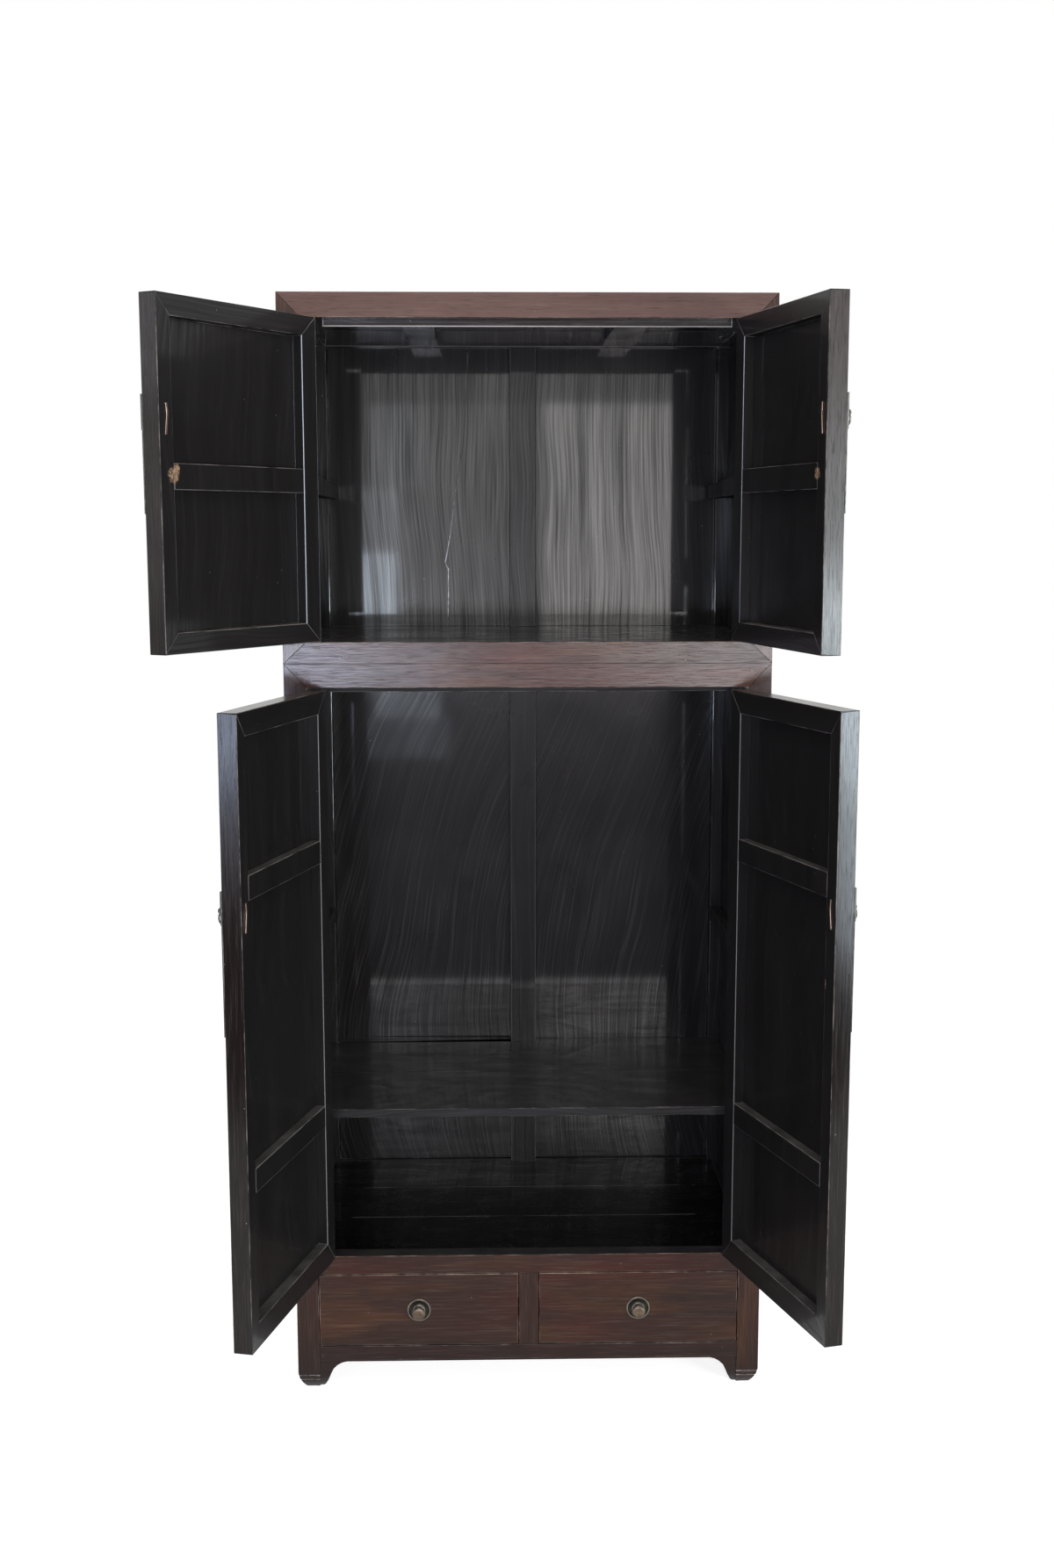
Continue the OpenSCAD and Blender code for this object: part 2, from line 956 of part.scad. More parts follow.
module chest_side_rails() {
    color(lacquer_red)
        difference() {
            union() {
                at_sides(top_z)
                    mitred_rail(cabinet_depth, head_rail_height);
                at_sides(seam_z)
                    chest_floor_member(cabinet_depth);
            }
            chest_frame_hollows();
        }
}

module chest_back_frame() {
    color(lacquer_red)
        difference() {
            union() {
                at_back(top_z)
                    mitred_rail(cabinet_width, head_rail_height);
                at_back(seam_z)
                    chest_floor_member(cabinet_width);
            }
            chest_frame_hollows();
            at_back(chest_floor_z)
                upright_tenons(back_post_width, chest_opening_height, joint_fit);
        }
    color(lacquer_red)
        difference() {
            at_back(chest_floor_z)
                upright(back_post_width, chest_opening_height);
            chest_back_grooves();
        }
}

module chest_side_panels() {
    batten_z = chest_floor_z + chest_batten_rise;
    color(lacquer_black)
        difference() {
            at_sides(chest_floor_z)
                panel(side_span, chest_opening_height);
            at_sides(batten_z)
                side_batten_groove(chest_batten_rear);
        }
    color(lacquer_black)
        at_sides(batten_z)
            side_batten(chest_batten_front, chest_batten_rear, chest_batten_reach);
}

module chest_back_panels() {
    color(lacquer_black)
        left_and_right()
            translate([back_panel_x, 0, 0])
                at_back(chest_floor_z)
                    panel(back_opening, chest_opening_height);
}

module roof_dovetail(grow) {
    neck = roof_batten_narrow / 2 - 6 + grow;
    flare = neck + dovetail_flare;
    elevation(side_span)
        polygon([
            [-neck, -cut],
            [neck, -cut],
            [neck, 0],
            [flare, dovetail_depth + grow],
            [-flare, dovetail_depth + grow],
            [-neck, 0]
        ]);
}

// A batten tapers from one end to the other, and the pair is driven in from opposite sides
module roof_batten() {
    half = side_span / 2 - seam_gap;
    wide = roof_batten_wide / 2;
    narrow = roof_batten_narrow / 2;
    translate([0, 0, -roof_batten_drop])
        linear_extrude(roof_batten_drop - joint_fit)
            polygon([[-wide, -half], [wide, -half], [narrow, half], [-narrow, half]]);
    translate([0, -half, 0])
        intersection() {
            roof_dovetail(0);
            translate([-wide, 0, -cut])
                cube([2 * wide, 2 * half, 2 * cut + dovetail_depth]);
        }
}

module at_roof_battens() {
    translate([-roof_batten_offset, 0, top_z - floor_thickness])
        children();
    translate([roof_batten_offset, 0, top_z - floor_thickness])
        mirror([0, 1, 0])
            children();
}

module roof_boards() {
    color(lacquer_black)
        difference() {
            translate([0, 0, top_z])
                boards(rebate_width, floor_thickness, 3, false);
            at_roof_battens()
                translate([0, -side_span / 2, 0])
                    roof_dovetail(joint_fit);
        }
}

module roof_battens() {
    color(lacquer_black)
        at_roof_battens()
            roof_batten();
}

module chest_floor_boards() {
    color(lacquer_black)
        translate([0, 0, chest_floor_z])
            boards(rebate_width, floor_thickness, 3, true);
}

module chest_stop_strip() {
    color(lacquer_black)
        translate([0, 0, chest_head_z])
            stop_strip(upper_stop_height);
}

// Doors. A leaf is drawn closed, with its hinge axis at x = 0, y = 0 and its lower edge at z = 0.

module hang_left(z, angle) {
    translate([-inner_x - pivot_out, front_y - pivot_forward, z + door_gap])
        rotate([0, 0, -angle])
            children();
}

module hang_right(z, angle) {
    mirror([1, 0, 0])
        hang_left(z, angle)
            children();
}

module leaf_groove(height, bottom_rail, top_rail) {
    translate([recess_x - tongue_depth, door_tongue_y - joint_fit, bottom_rail - tongue_depth])
        cube([
            recess_width + 2 * tongue_depth,
            tongue_thickness + 2 * joint_fit,
            height - bottom_rail - top_rail + 2 * tongue_depth
        ]);
}

// Tenons of a door rail, from inside one stile to inside the other
module leaf_rail_tenons(z, rail_height, grow) {
    inset = rail_height / 5;
    reach = 20;
    translate([recess_x - reach - grow, leaf_back - 15 - grow, z + inset - grow])
        cube([
            recess_width + 2 * (reach + grow),
            9 + 2 * grow,
            rail_height * 0.4 + 2 * grow
        ]);
}

function batten_z(share, height, bottom_rail, top_rail) =
    bottom_rail + share * (height - bottom_rail - top_rail) - door_batten_height / 2;

module leaf_batten_tenons(z, grow) {
    reach = 8;
    inset = 9;
    translate([recess_x - reach - grow, leaf_back - 15 - grow, z + inset - grow])
        cube([
            recess_width + 2 * (reach + grow),
            9 + 2 * grow,
            door_batten_height - 2 * inset + 2 * grow
        ]);
}

module leaf_batten_tail(grow) {
    neck = door_batten_height / 2 - 6 + grow;
    flare = neck + dovetail_flare;
    translate([recess_x + panel_play, 0, 0])
        side_elevation(recess_width - 2 * panel_play)
            polygon([
                [door_panel_back + joint_fit + cut, -neck],
                [door_panel_back + joint_fit, -neck],
                [door_panel_back - dovetail_depth - grow, -flare],
                [door_panel_back - dovetail_depth - grow, flare],
                [door_panel_back + joint_fit, neck],
                [door_panel_back + joint_fit + cut, neck]
            ]);
}

// The inner corner of the meeting edge is planed back so that it clears the other leaf
module meeting_plane(height) {
    translate([0, 0, -cut])
        linear_extrude(height + 2 * cut)
            polygon([
                [leaf_end, pivot_forward],
                [leaf_end + cut, pivot_forward],
                [leaf_end + cut, leaf_back + cut],
                [leaf_end - meeting_bevel, leaf_back + cut],
                [leaf_end - meeting_bevel, leaf_back]
            ]);
}

module split_pin_hole(z) {
    translate([split_pin_x, pivot_forward - cut, z])
        rotate([-90, 0, 0])
            cylinder(h = door_thickness + 2 * cut, r = shank_radius + joint_fit);
}

// The stiles and rails are mitred at the corners, with a hidden tenon on each end of a rail
module leaf_stiles(height, bottom_rail, top_rail, battens, pin_z) {
    stile_end = leaf_end - meeting_stile;
    difference() {
        translate([0, pivot_forward, 0])
            elevation(door_thickness) {
                polygon([
                    [leaf_x, 0],
                    [leaf_x, height],
                    [recess_x, height - top_rail],
                    [recess_x, bottom_rail]
                ]);
                polygon([
                    [leaf_end, 0],
                    [leaf_end, height],
                    [stile_end, height - top_rail],
                    [stile_end, bottom_rail]
                ]);
            }
        leaf_groove(height, bottom_rail, top_rail);
        leaf_rail_tenons(0, bottom_rail, joint_fit);
        leaf_rail_tenons(height - top_rail * 0.8, top_rail, joint_fit);
        for (share = battens)
            leaf_batten_tenons(batten_z(share, height, bottom_rail, top_rail), joint_fit);
        meeting_plane(height);
        split_pin_hole(pin_z);
    }
}

module leaf_rails(height, bottom_rail, top_rail) {
    stile_end = leaf_end - meeting_stile;
    difference() {
        translate([0, pivot_forward, 0])
            elevation(door_thickness) {
                polygon([
                    [leaf_x, 0],
                    [leaf_end, 0],
                    [stile_end, bottom_rail],
                    [recess_x, bottom_rail]
                ]);
                polygon([
                    [leaf_x, height],
                    [leaf_end, height],
                    [stile_end, height - top_rail],
                    [recess_x, height - top_rail]
                ]);
            }
        leaf_groove(height, bottom_rail, top_rail);
        meeting_plane(height);
    }
    leaf_rail_tenons(0, bottom_rail, 0);
    leaf_rail_tenons(height - top_rail * 0.8, top_rail, 0);
}

module leaf_panel(height, bottom_rail, top_rail, battens) {
    opening = height - bottom_rail - top_rail;
    reach = tongue_depth - panel_play;
    difference() {
        union() {
            translate([recess_x + panel_play, pivot_forward + door_panel_setback, bottom_rail + panel_play])
                cube([
                    recess_width - 2 * panel_play,
                    door_panel_thickness,
                    opening - 2 * panel_play
                ]);
            translate([recess_x - reach, door_tongue_y, bottom_rail - reach])
                cube([recess_width + 2 * reach, tongue_thickness, opening + 2 * reach]);
        }
        for (share = battens)
            translate([0, 0, bottom_rail + share * opening])
                leaf_batten_tail(joint_fit);
    }
    for (share = battens) {
        z = batten_z(share, height, bottom_rail, top_rail);
        translate([recess_x + panel_play, door_panel_back + joint_fit, z])
            cube([
                recess_width - 2 * panel_play,
                door_panel_depth - joint_fit,
                door_batten_height
            ]);
        leaf_batten_tenons(z, 0);
        translate([0, 0, bottom_rail + share * opening])
            leaf_batten_tail(0);
    }
}

// Hinges lie on the outer faces. The post's half has the outer knuckles and the pin, and the
// door's half has the middle knuckle.

module hinge_bore() {
    translate([0, 0, -cut])
        cylinder(h = hinge_height + 2 * cut, r = hinge_pin_radius + pin_fit);
}

module hinge_plate_half(knuckles) {
    plate_y = pivot_forward - hinge_plate;
    difference() {
        union() {
            translate([hinge_edge, plate_y, 0])
                cube([hinge_plate_width - hinge_edge, hinge_plate, hinge_height]);
            for (i = knuckles)
                translate([0, 0, i * (knuckle_height + knuckle_gap)]) {
                    cylinder(h = knuckle_height, r = barrel_radius);
                    translate([0, plate_y, 0])
                        cube([hinge_edge + cut, hinge_plate, knuckle_height]);
                }
        }
        hinge_bore();
    }
}

module hinge_pin() {
    head = 1.6;
    translate([0, 0, -head - joint_fit])
        cylinder(h = hinge_height + 2 * (head + joint_fit), r = hinge_pin_radius);
    for (z = [-head - joint_fit, hinge_height + joint_fit])
        translate([0, 0, z])
            cylinder(h = head, r = hinge_pin_radius + 1);
}

// Hinges at the door's ends, and one in the middle of a tall door
module at_hinges(height, count) {
    step = (height - 2 * hinge_inset - hinge_height) / (count - 1);
    for (i = [0 : count - 1])
        translate([0, 0, hinge_inset + i * step])
            children();
}

module post_hinges(z, height, count) {
    left_and_right()
        hang_left(z, 0)
            at_hinges(height, count) {
                mirror([1, 0, 0])
                    hinge_plate_half([0, 2]);
                hinge_pin();
            }
}

module lower_hinge_plates() {
    color(dark_iron)
        post_hinges(floor_z, lower_door_height, 3);
}

module chest_hinge_plates() {
    color(dark_iron)
        post_hinges(chest_floor_z, upper_door_height, 2);
}

// A plate on the outer face, held by a split pin whose legs are bent over on the inside
module leaf_lock(plate_z, plate_height, pin_z) {
    leg_width = 4;
    leg_thickness = 1.8;
    boss_y = pivot_forward - lock_plate - lock_boss;
    difference() {
        union() {
            translate([leaf_end - lock_plate_width, pivot_forward - lock_plate, plate_z])
                cube([lock_plate_width, lock_plate, plate_height]);
            translate([leaf_end - lock_plate_width, boss_y, plate_z + plate_height - lock_boss_height])
                cube([lock_plate_width, lock_boss + lock_plate, lock_boss_height]);
        }
        translate([split_pin_x, pivot_forward, pin_z])
            rotate([90, 0, 0])
                translate([0, 0, -cut])
                    cylinder(h = lock_plate + lock_boss + 2 * cut, r = shank_radius + joint_fit);
    }
    translate([split_pin_x, 0, pin_z]) {
        translate([0, eye_y, 0])
            rotate([0, 90, 0])
                rotate_extrude()
                    translate([eye_radius, 0])
                        circle(r = eye_wire_radius);
        translate([0, eye_y + eye_radius, 0])
            rotate([-90, 0, 0])
                cylinder(h = leaf_back + joint_fit + 0.5 - eye_y - eye_radius, r = shank_radius);
        translate([0, leaf_back + joint_fit, 0]) {
            rotate([0, leg_lean, 0])
                translate([-leg_width / 2, 0, 0])
                    cube([leg_width, leg_thickness, upper_leg]);
            rotate([0, -leg_lean, 0])
                translate([-leg_width / 2, 0, -lower_leg])
                    cube([leg_width, leg_thickness, lower_leg]);
        }
    }
}

// The ring hangs in the eye of the split pin
module leaf_ring(pin_z) {
    translate([split_pin_x, eye_y, pin_z - ring_radius])
        rotate([90, 0, 0])
            rotate_extrude()
                translate([ring_radius, 0])
                    circle(r = ring_wire_radius);
}

module upper_leaf_stiles() {
    color(lacquer_black)
        leaf_stiles(upper_door_height, upper_door_rail, upper_door_rail, upper_door_battens, upper_pin_z);
}

module upper_leaf_rails() {
    color(lacquer_black)
        leaf_rails(upper_door_height, upper_door_rail, upper_door_rail);
}

module upper_leaf_panel() {
    color(lacquer_black)
        leaf_panel(upper_door_height, upper_door_rail, upper_door_rail, upper_door_battens);
}

module upper_leaf_hinges() {
    color(dark_iron)
        at_hinges(upper_door_height, 2)
            hinge_plate_half([1]);
}

module upper_leaf_lock() {
    color(old_brass)
        leaf_lock(upper_lock_z, upper_lock_height, upper_pin_z);
}

module upper_leaf_ring() {
    color(old_brass)
        leaf_ring(upper_pin_z);
}

module lower_leaf_stiles() {
    color(lacquer_black)
        leaf_stiles(
            lower_door_height,
            lower_door_bottom_rail,
            lower_door_top_rail,
            lower_door_battens,
            lower_pin_z
        );
}

module lower_leaf_rails() {
    color(lacquer_black)
        leaf_rails(lower_door_height, lower_door_bottom_rail, lower_door_top_rail);
}

module lower_leaf_panel() {
    color(lacquer_black)
        leaf_panel(lower_door_height, lower_door_bottom_rail, lower_door_top_rail, lower_door_battens);
}

module lower_leaf_hinges() {
    color(dark_iron)
        at_hinges(lower_door_height, 3)
            hinge_plate_half([1]);
}

module lower_leaf_lock() {
    color(old_brass)
        leaf_lock(lower_lock_z, lower_lock_height, lower_pin_z);
}

module lower_leaf_ring() {
    color(old_brass)
        leaf_ring(lower_pin_z);
}

// Drawers, drawn about the middle of the opening, with the front on y = 0

module at_drawer(side) {
    translate([side * drawer_x, front_y, drawer_floor_z])
        children();
}

// The tails at the front of a drawer side, and the sockets that they leave in the front
module drawer_tails(grow) {
    count = 3;
    step = drawer_side_height / count;
    back = drawer_front_thickness;
    for (i = [0 : count - 1])
        translate([0, 0, (i + 0.5) * step])
            side_elevation(drawer_side_thickness + grow)
                polygon([
                    [back + cut, -step * 0.26 - grow],
                    [back - drawer_lap - grow, -step * 0.36 - grow],
                    [back - drawer_lap - grow, step * 0.36 + grow],
                    [back + cut, step * 0.26 + grow]
                ]);
}

module at_drawer_sides() {
    left_and_right()
        translate([-drawer_box_width / 2, 0, 0])
            children();
}

module drawer_bottom(reach, grow) {
    inside = drawer_box_width / 2 - drawer_side_thickness;
    translate([
        -inside - reach,
        drawer_front_thickness - reach,
        drawer_bottom_z - grow
    ])
        cube([
            2 * (inside + reach),
            drawer_length - drawer_front_thickness + reach,
            drawer_bottom_thickness + 2 * grow
        ]);
}

module drawer_back(reach, grow) {
    inside = drawer_box_width / 2 - drawer_side_thickness;
    bottom = drawer_bottom_z + drawer_bottom_thickness + joint_fit;
    translate([-inside - reach, drawer_length - 2 * drawer_side_thickness - grow, bottom - grow])
        cube([
            2 * (inside + reach),
            drawer_side_thickness + 2 * grow,
            drawer_side_height - bottom + 2 * grow
        ]);
}

module drawer_front() {
    difference() {
        translate([-drawer_width / 2, 0, drawer_gap])
            cube([drawer_width, drawer_front_thickness, drawer_height]);
        translate([0, 0, drawer_play]) {
            at_drawer_sides()
                translate([-joint_fit, 0, 0])
                    drawer_tails(joint_fit);
            drawer_bottom(drawer_groove, joint_fit);
        }
        translate([0, 0, drawer_opening_height / 2])
            rotate([-90, 0, 0])
                cylinder(h = 3 * drawer_front_thickness, r = knob_stem_radius + joint_fit, center = true);
    }
}

module drawer_box() {
    translate([0, 0, drawer_play]) {
        difference() {
            at_drawer_sides() {
                translate([0, drawer_front_thickness + joint_fit, 0])
                    cube([
                        drawer_side_thickness,
                        drawer_length - drawer_front_thickness - joint_fit,
                        drawer_side_height
                    ]);
                drawer_tails(0);
            }
            drawer_bottom(drawer_groove, joint_fit);
            drawer_back(drawer_groove, joint_fit);
        }
        drawer_back(drawer_groove - joint_fit, 0);
        drawer_bottom(drawer_groove - joint_fit, 0);
    }
}

// A turned knob on a dished rose, bolted through the front against a square washer
module drawer_knob() {
    profile = [
        [0, 0],
        [rose_radius, 0],
        [rose_radius, 1.6],
        [rose_radius - 1.2, 3],
        [rose_radius - 3.4, 3],
        [rose_radius - 5, 1.8],
        [14, 1.4],
        [13.5, 3.4],
        [12, 5.6],
        [9.6, 7.4],
        [7, 8.6],
        [6.2, 10.4],
        [7, knob_reach - 12],
        [knob_radius - 2.5, knob_reach - 9.4],
        [knob_radius, knob_reach - 6.6],
        [knob_radius, knob_reach - 3],
        [knob_radius - 1.5, knob_reach - 1.2],
        [knob_radius - 4, knob_reach - 0.3],
        [0, knob_reach]
    ];
    washer = 16;
    translate([0, 0, drawer_opening_height / 2]) {
        rotate([90, 0, 0])
            rotate_extrude()
                polygon(profile);
        rotate([-90, 0, 0])
            translate([0, 0, -cut])
                cylinder(h = drawer_front_thickness + 4 + cut, r = knob_stem_radius);
        translate([-washer / 2, drawer_front_thickness + joint_fit, -washer / 2])
            cube([washer, 1.6, washer]);
    }
}

// The doors and drawers in their places

module upper_left_door_stiles() {
    hang_left(chest_floor_z, upper_left_angle)
        upper_leaf_stiles();
}

module upper_left_door_rails() {
    hang_left(chest_floor_z, upper_left_angle)
        upper_leaf_rails();
}

module upper_left_door_panel() {
    hang_left(chest_floor_z, upper_left_angle)
        upper_leaf_panel();
}

module upper_left_hinge_leaves() {
    hang_left(chest_floor_z, upper_left_angle)
        upper_leaf_hinges();
}

module upper_left_lock_plate() {
    hang_left(chest_floor_z, upper_left_angle)
        upper_leaf_lock();
}

module upper_left_ring_pull() {
    hang_left(chest_floor_z, upper_left_angle)
        upper_leaf_ring();
}

module upper_right_door_stiles() {
    hang_right(chest_floor_z, upper_right_angle)
        upper_leaf_stiles();
}

module upper_right_door_rails() {
    hang_right(chest_floor_z, upper_right_angle)
        upper_leaf_rails();
}

module upper_right_door_panel() {
    hang_right(chest_floor_z, upper_right_angle)
        upper_leaf_panel();
}

module upper_right_hinge_leaves() {
    hang_right(chest_floor_z, upper_right_angle)
        upper_leaf_hinges();
}

module upper_right_lock_plate() {
    hang_right(chest_floor_z, upper_right_angle)
        upper_leaf_lock();
}

module upper_right_ring_pull() {
    hang_right(chest_floor_z, upper_right_angle)
        upper_leaf_ring();
}

module lower_left_door_stiles() {
    hang_left(floor_z, lower_left_angle)
        lower_leaf_stiles();
}

module lower_left_door_rails() {
    hang_left(floor_z, lower_left_angle)
        lower_leaf_rails();
}

module lower_left_door_panel() {
    hang_left(floor_z, lower_left_angle)
        lower_leaf_panel();
}

module lower_left_hinge_leaves() {
    hang_left(floor_z, lower_left_angle)
        lower_leaf_hinges();
}

module lower_left_lock_plate() {
    hang_left(floor_z, lower_left_angle)
        lower_leaf_lock();
}

module lower_left_ring_pull() {
    hang_left(floor_z, lower_left_angle)
        lower_leaf_ring();
}

module lower_right_door_stiles() {
    hang_right(floor_z, lower_right_angle)
        lower_leaf_stiles();
}

module lower_right_door_rails() {
    hang_right(floor_z, lower_right_angle)
        lower_leaf_rails();
}

module lower_right_door_panel() {
    hang_right(floor_z, lower_right_angle)
        lower_leaf_panel();
}

module lower_right_hinge_leaves() {
    hang_right(floor_z, lower_right_angle)
        lower_leaf_hinges();
}

module lower_right_lock_plate() {
    hang_right(floor_z, lower_right_angle)
        lower_leaf_lock();
}

module lower_right_ring_pull() {
    hang_right(floor_z, lower_right_angle)
        lower_leaf_ring();
}

module left_drawer_front() {
    color(lacquer_red)
        at_drawer(-1)
            drawer_front();
}

module left_drawer_box() {
    color(lacquer_black)
        at_drawer(-1)
            drawer_box();
}

module left_drawer_knob() {
    color(dark_iron)
        at_drawer(-1)
            drawer_knob();
}

module right_drawer_front() {
    color(lacquer_red)
        at_drawer(1)
            drawer_front();
}

module right_drawer_box() {
    color(lacquer_black)
        at_drawer(1)
            drawer_box();
}

module right_drawer_knob() {
    color(dark_iron)
        at_drawer(1)
            drawer_knob();
}

lower_front_posts();
lower_rear_posts();
lower_head_rail();
lower_side_rails();
lower_back_frame();
drawer_rail();
bottom_rail();
drawer_divider();
lower_side_panels();
lower_back_panels();
lower_top_boards();
cabinet_floor_boards();
shelf();
drawer_runners();
dust_boards();
lower_stop_strip();
lower_hinge_plates();
chest_front_posts();
chest_rear_posts();
chest_head_rail();
chest_floor_rail();
chest_side_rails();
chest_back_frame();
chest_side_panels();
chest_back_panels();
roof_boards();
roof_battens();
chest_floor_boards();
chest_stop_strip();
chest_hinge_plates();
upper_left_door_stiles();
upper_left_door_rails();
upper_left_door_panel();
upper_left_hinge_leaves();
upper_left_lock_plate();
upper_left_ring_pull();
upper_right_door_stiles();
upper_right_door_rails();
upper_right_door_panel();
upper_right_hinge_leaves();
upper_right_lock_plate();
upper_right_ring_pull();
lower_left_door_stiles();
lower_left_door_rails();
lower_left_door_panel();
lower_left_hinge_leaves();
lower_left_lock_plate();
lower_left_ring_pull();
lower_right_door_stiles();
lower_right_door_rails();
lower_right_door_panel();
lower_right_hinge_leaves();
lower_right_lock_plate();
lower_right_ring_pull();
left_drawer_front();
left_drawer_box();
left_drawer_knob();
right_drawer_front();
right_drawer_box();
right_drawer_knob();
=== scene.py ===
import json
from functools import cache
from math import pi, radians

import bmesh
import bpy
from mathutils import Matrix, Vector
from mathutils.bvhtree import BVHTree

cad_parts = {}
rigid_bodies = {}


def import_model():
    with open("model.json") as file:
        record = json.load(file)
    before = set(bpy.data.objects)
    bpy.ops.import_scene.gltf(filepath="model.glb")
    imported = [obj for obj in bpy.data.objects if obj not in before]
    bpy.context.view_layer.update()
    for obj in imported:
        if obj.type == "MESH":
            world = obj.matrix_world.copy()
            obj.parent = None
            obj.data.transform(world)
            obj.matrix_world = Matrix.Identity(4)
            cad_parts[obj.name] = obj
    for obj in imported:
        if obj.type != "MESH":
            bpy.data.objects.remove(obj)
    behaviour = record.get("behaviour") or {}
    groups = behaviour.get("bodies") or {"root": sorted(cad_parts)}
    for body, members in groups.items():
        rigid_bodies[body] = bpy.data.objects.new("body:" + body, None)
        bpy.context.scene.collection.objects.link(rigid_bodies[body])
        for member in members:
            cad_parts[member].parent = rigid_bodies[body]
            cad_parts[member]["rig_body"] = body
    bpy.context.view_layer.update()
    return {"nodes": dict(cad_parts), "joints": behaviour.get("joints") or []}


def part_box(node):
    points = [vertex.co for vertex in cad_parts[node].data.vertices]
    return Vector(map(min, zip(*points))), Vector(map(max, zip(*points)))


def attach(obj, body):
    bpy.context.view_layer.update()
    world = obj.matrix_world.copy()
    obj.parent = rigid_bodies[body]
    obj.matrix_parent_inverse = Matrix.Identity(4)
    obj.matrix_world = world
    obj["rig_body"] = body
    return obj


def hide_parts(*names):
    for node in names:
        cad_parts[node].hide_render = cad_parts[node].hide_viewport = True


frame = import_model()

nodes = frame["nodes"]
scene = bpy.context.scene
scene.view_settings.view_transform = "Standard"

# The camera stands level with the chest, a little left of the middle and tipped down, so that the view looks
# into the chest and down on the drawers.
TIPPED_DOWN = 8.4715
LEANED = 0.0347
TURNED = -1.3051
camera = bpy.data.objects.new("camera", bpy.data.cameras.new("camera"))
camera.data.lens = 39.516
camera.location = (-0.0787, -3.6253, 1.7609)
camera.rotation_euler = (radians(90 - TIPPED_DOWN), radians(LEANED), radians(TURNED))
scene.collection.objects.link(camera)
scene.camera = camera

# White paper under the cabinet and a white room round it. Where the paper ends, well in front of the cabinet,
# the room's dark boards and its wainscot begin, which only the lacquer sees.
PAPER_FRONT = -2.45
ROOM_FRONT = -6.4
ROOM_SIDE = 7
WAINSCOT_TOP = 1.22


def feed(tree, socket, value):
    """Gives a socket another node's output or a plain value."""
    if isinstance(value, bpy.types.NodeSocket):
        tree.links.new(value, socket)
    else:
        socket.default_value = value


def add(tree, kind, inputs=None, **settings):
    """A shader node, with something for each input that is named or numbered."""
    made = tree.nodes.new("ShaderNode" + kind)
    for name, value in settings.items():
        setattr(made, name, value)
    for name, value in (inputs or {}).items():
        feed(tree, made.inputs[name], value)
    return made


def reckon(tree, operation, a, b):
    return add(tree, "Math", {0: a, 1: b}, operation=operation).outputs[0]


def times(tree, a, b):
    return reckon(tree, "MULTIPLY", a, b)


def seen_or_mirrored(tree):
    """1 for what the camera sees, directly, in gloss or through glass."""
    path = add(tree, "LightPath").outputs
    seen = reckon(tree, "MAXIMUM", path["Is Camera Ray"], path["Is Glossy Ray"])
    return reckon(tree, "MAXIMUM", seen, path["Is Transmission Ray"])


def sheet_of_floor(name, front, back):
    """A level sheet as wide as the room, at the height of the floor."""
    bm = bmesh.new()
    bmesh.ops.create_grid(bm, x_segments=1, y_segments=1, size=1)
    bmesh.ops.scale(bm, vec=(ROOM_SIDE, (back - front) / 2, 1), verts=bm.verts)
    bmesh.ops.translate(bm, vec=(0, (front + back) / 2, 0), verts=bm.verts)
    mesh = bpy.data.meshes.new(name)
    bm.to_mesh(mesh)
    bm.free()
    floor = bpy.data.objects.new(name, mesh)
    scene.collection.objects.link(floor)
    return floor


def empty_material(name):
    material = bpy.data.materials.new(name)
    material.use_nodes = True
    material.node_tree.nodes.clear()
    return material, material.node_tree


def put_out(tree, shader):
    add(tree, "OutputMaterial", {"Surface": shader.outputs[0]})


paper = sheet_of_floor("paper", PAPER_FRONT, ROOM_SIDE)
white_paper, tree = empty_material("white paper")
matt = add(tree, "BsdfDiffuse", {"Color": (0.62, 0.62, 0.62, 1)})
glow = add(tree, "Emission", {"Strength": times(tree, seen_or_mirrored(tree), 0.8)})
put_out(tree, add(tree, "AddShader", {0: matt.outputs[0], 1: glow.outputs[0]}))
paper.data.materials.append(white_paper)

boards = sheet_of_floor("dark_boards", ROOM_FRONT, PAPER_FRONT - 0.01)
wainscot = sheet_of_floor("dark_wainscot", 0, WAINSCOT_TOP)
wainscot.data.transform(Matrix.Translation((0, ROOM_FRONT, 0)) @ Matrix.Rotation(pi / 2, 4, "X"))
dark_stain, tree = empty_material("dark boards")
put_out(tree, add(tree, "BsdfDiffuse", {"Color": (0.07, 0.068, 0.07, 1)}))
for dark in (boards, wainscot):
    dark.visible_camera = False
    dark.data.materials.append(dark_stain)

world = bpy.data.worlds.new("white room")
world.use_nodes = True
world.node_tree.nodes.clear()
scene.world = world
tree = world.node_tree
dim = add(tree, "Background", {"Color": (1, 1, 1, 1), "Strength": 0.40})
white = add(tree, "Background", {"Color": (1, 1, 1, 1), "Strength": 1.0})
shown = add(tree, "MixShader", {0: seen_or_mirrored(tree), 1: dim.outputs[0], 2: white.outputs[0]})
add(tree, "OutputWorld", {"Surface": shown.outputs[0]})


# A broad lamp hangs over the front and one over the back. Windows behind the camera give the soft daylight
# that shows as pale panes in the gloss of the back panels, and a low row of them lights the floor and the
# shelf.
def softbox(name, centre, size, aim, glow, colour=(1, 1, 1)):
    """A lamp of width and height size, as bright to look at as glow, where white paper is 1."""
    data = bpy.data.lights.new(name, "AREA")
    data.shape = "RECTANGLE"
    data.size, data.size_y = size
    data.energy = glow * pi * size[0] * size[1]
    data.color = colour
    lamp = bpy.data.objects.new(name, data)
    lamp.location = centre
    lamp.rotation_euler = (Vector(aim) - Vector(centre)).to_track_quat("-Z", "Y").to_euler()
    lamp.visible_camera = False
    scene.collection.objects.link(lamp)


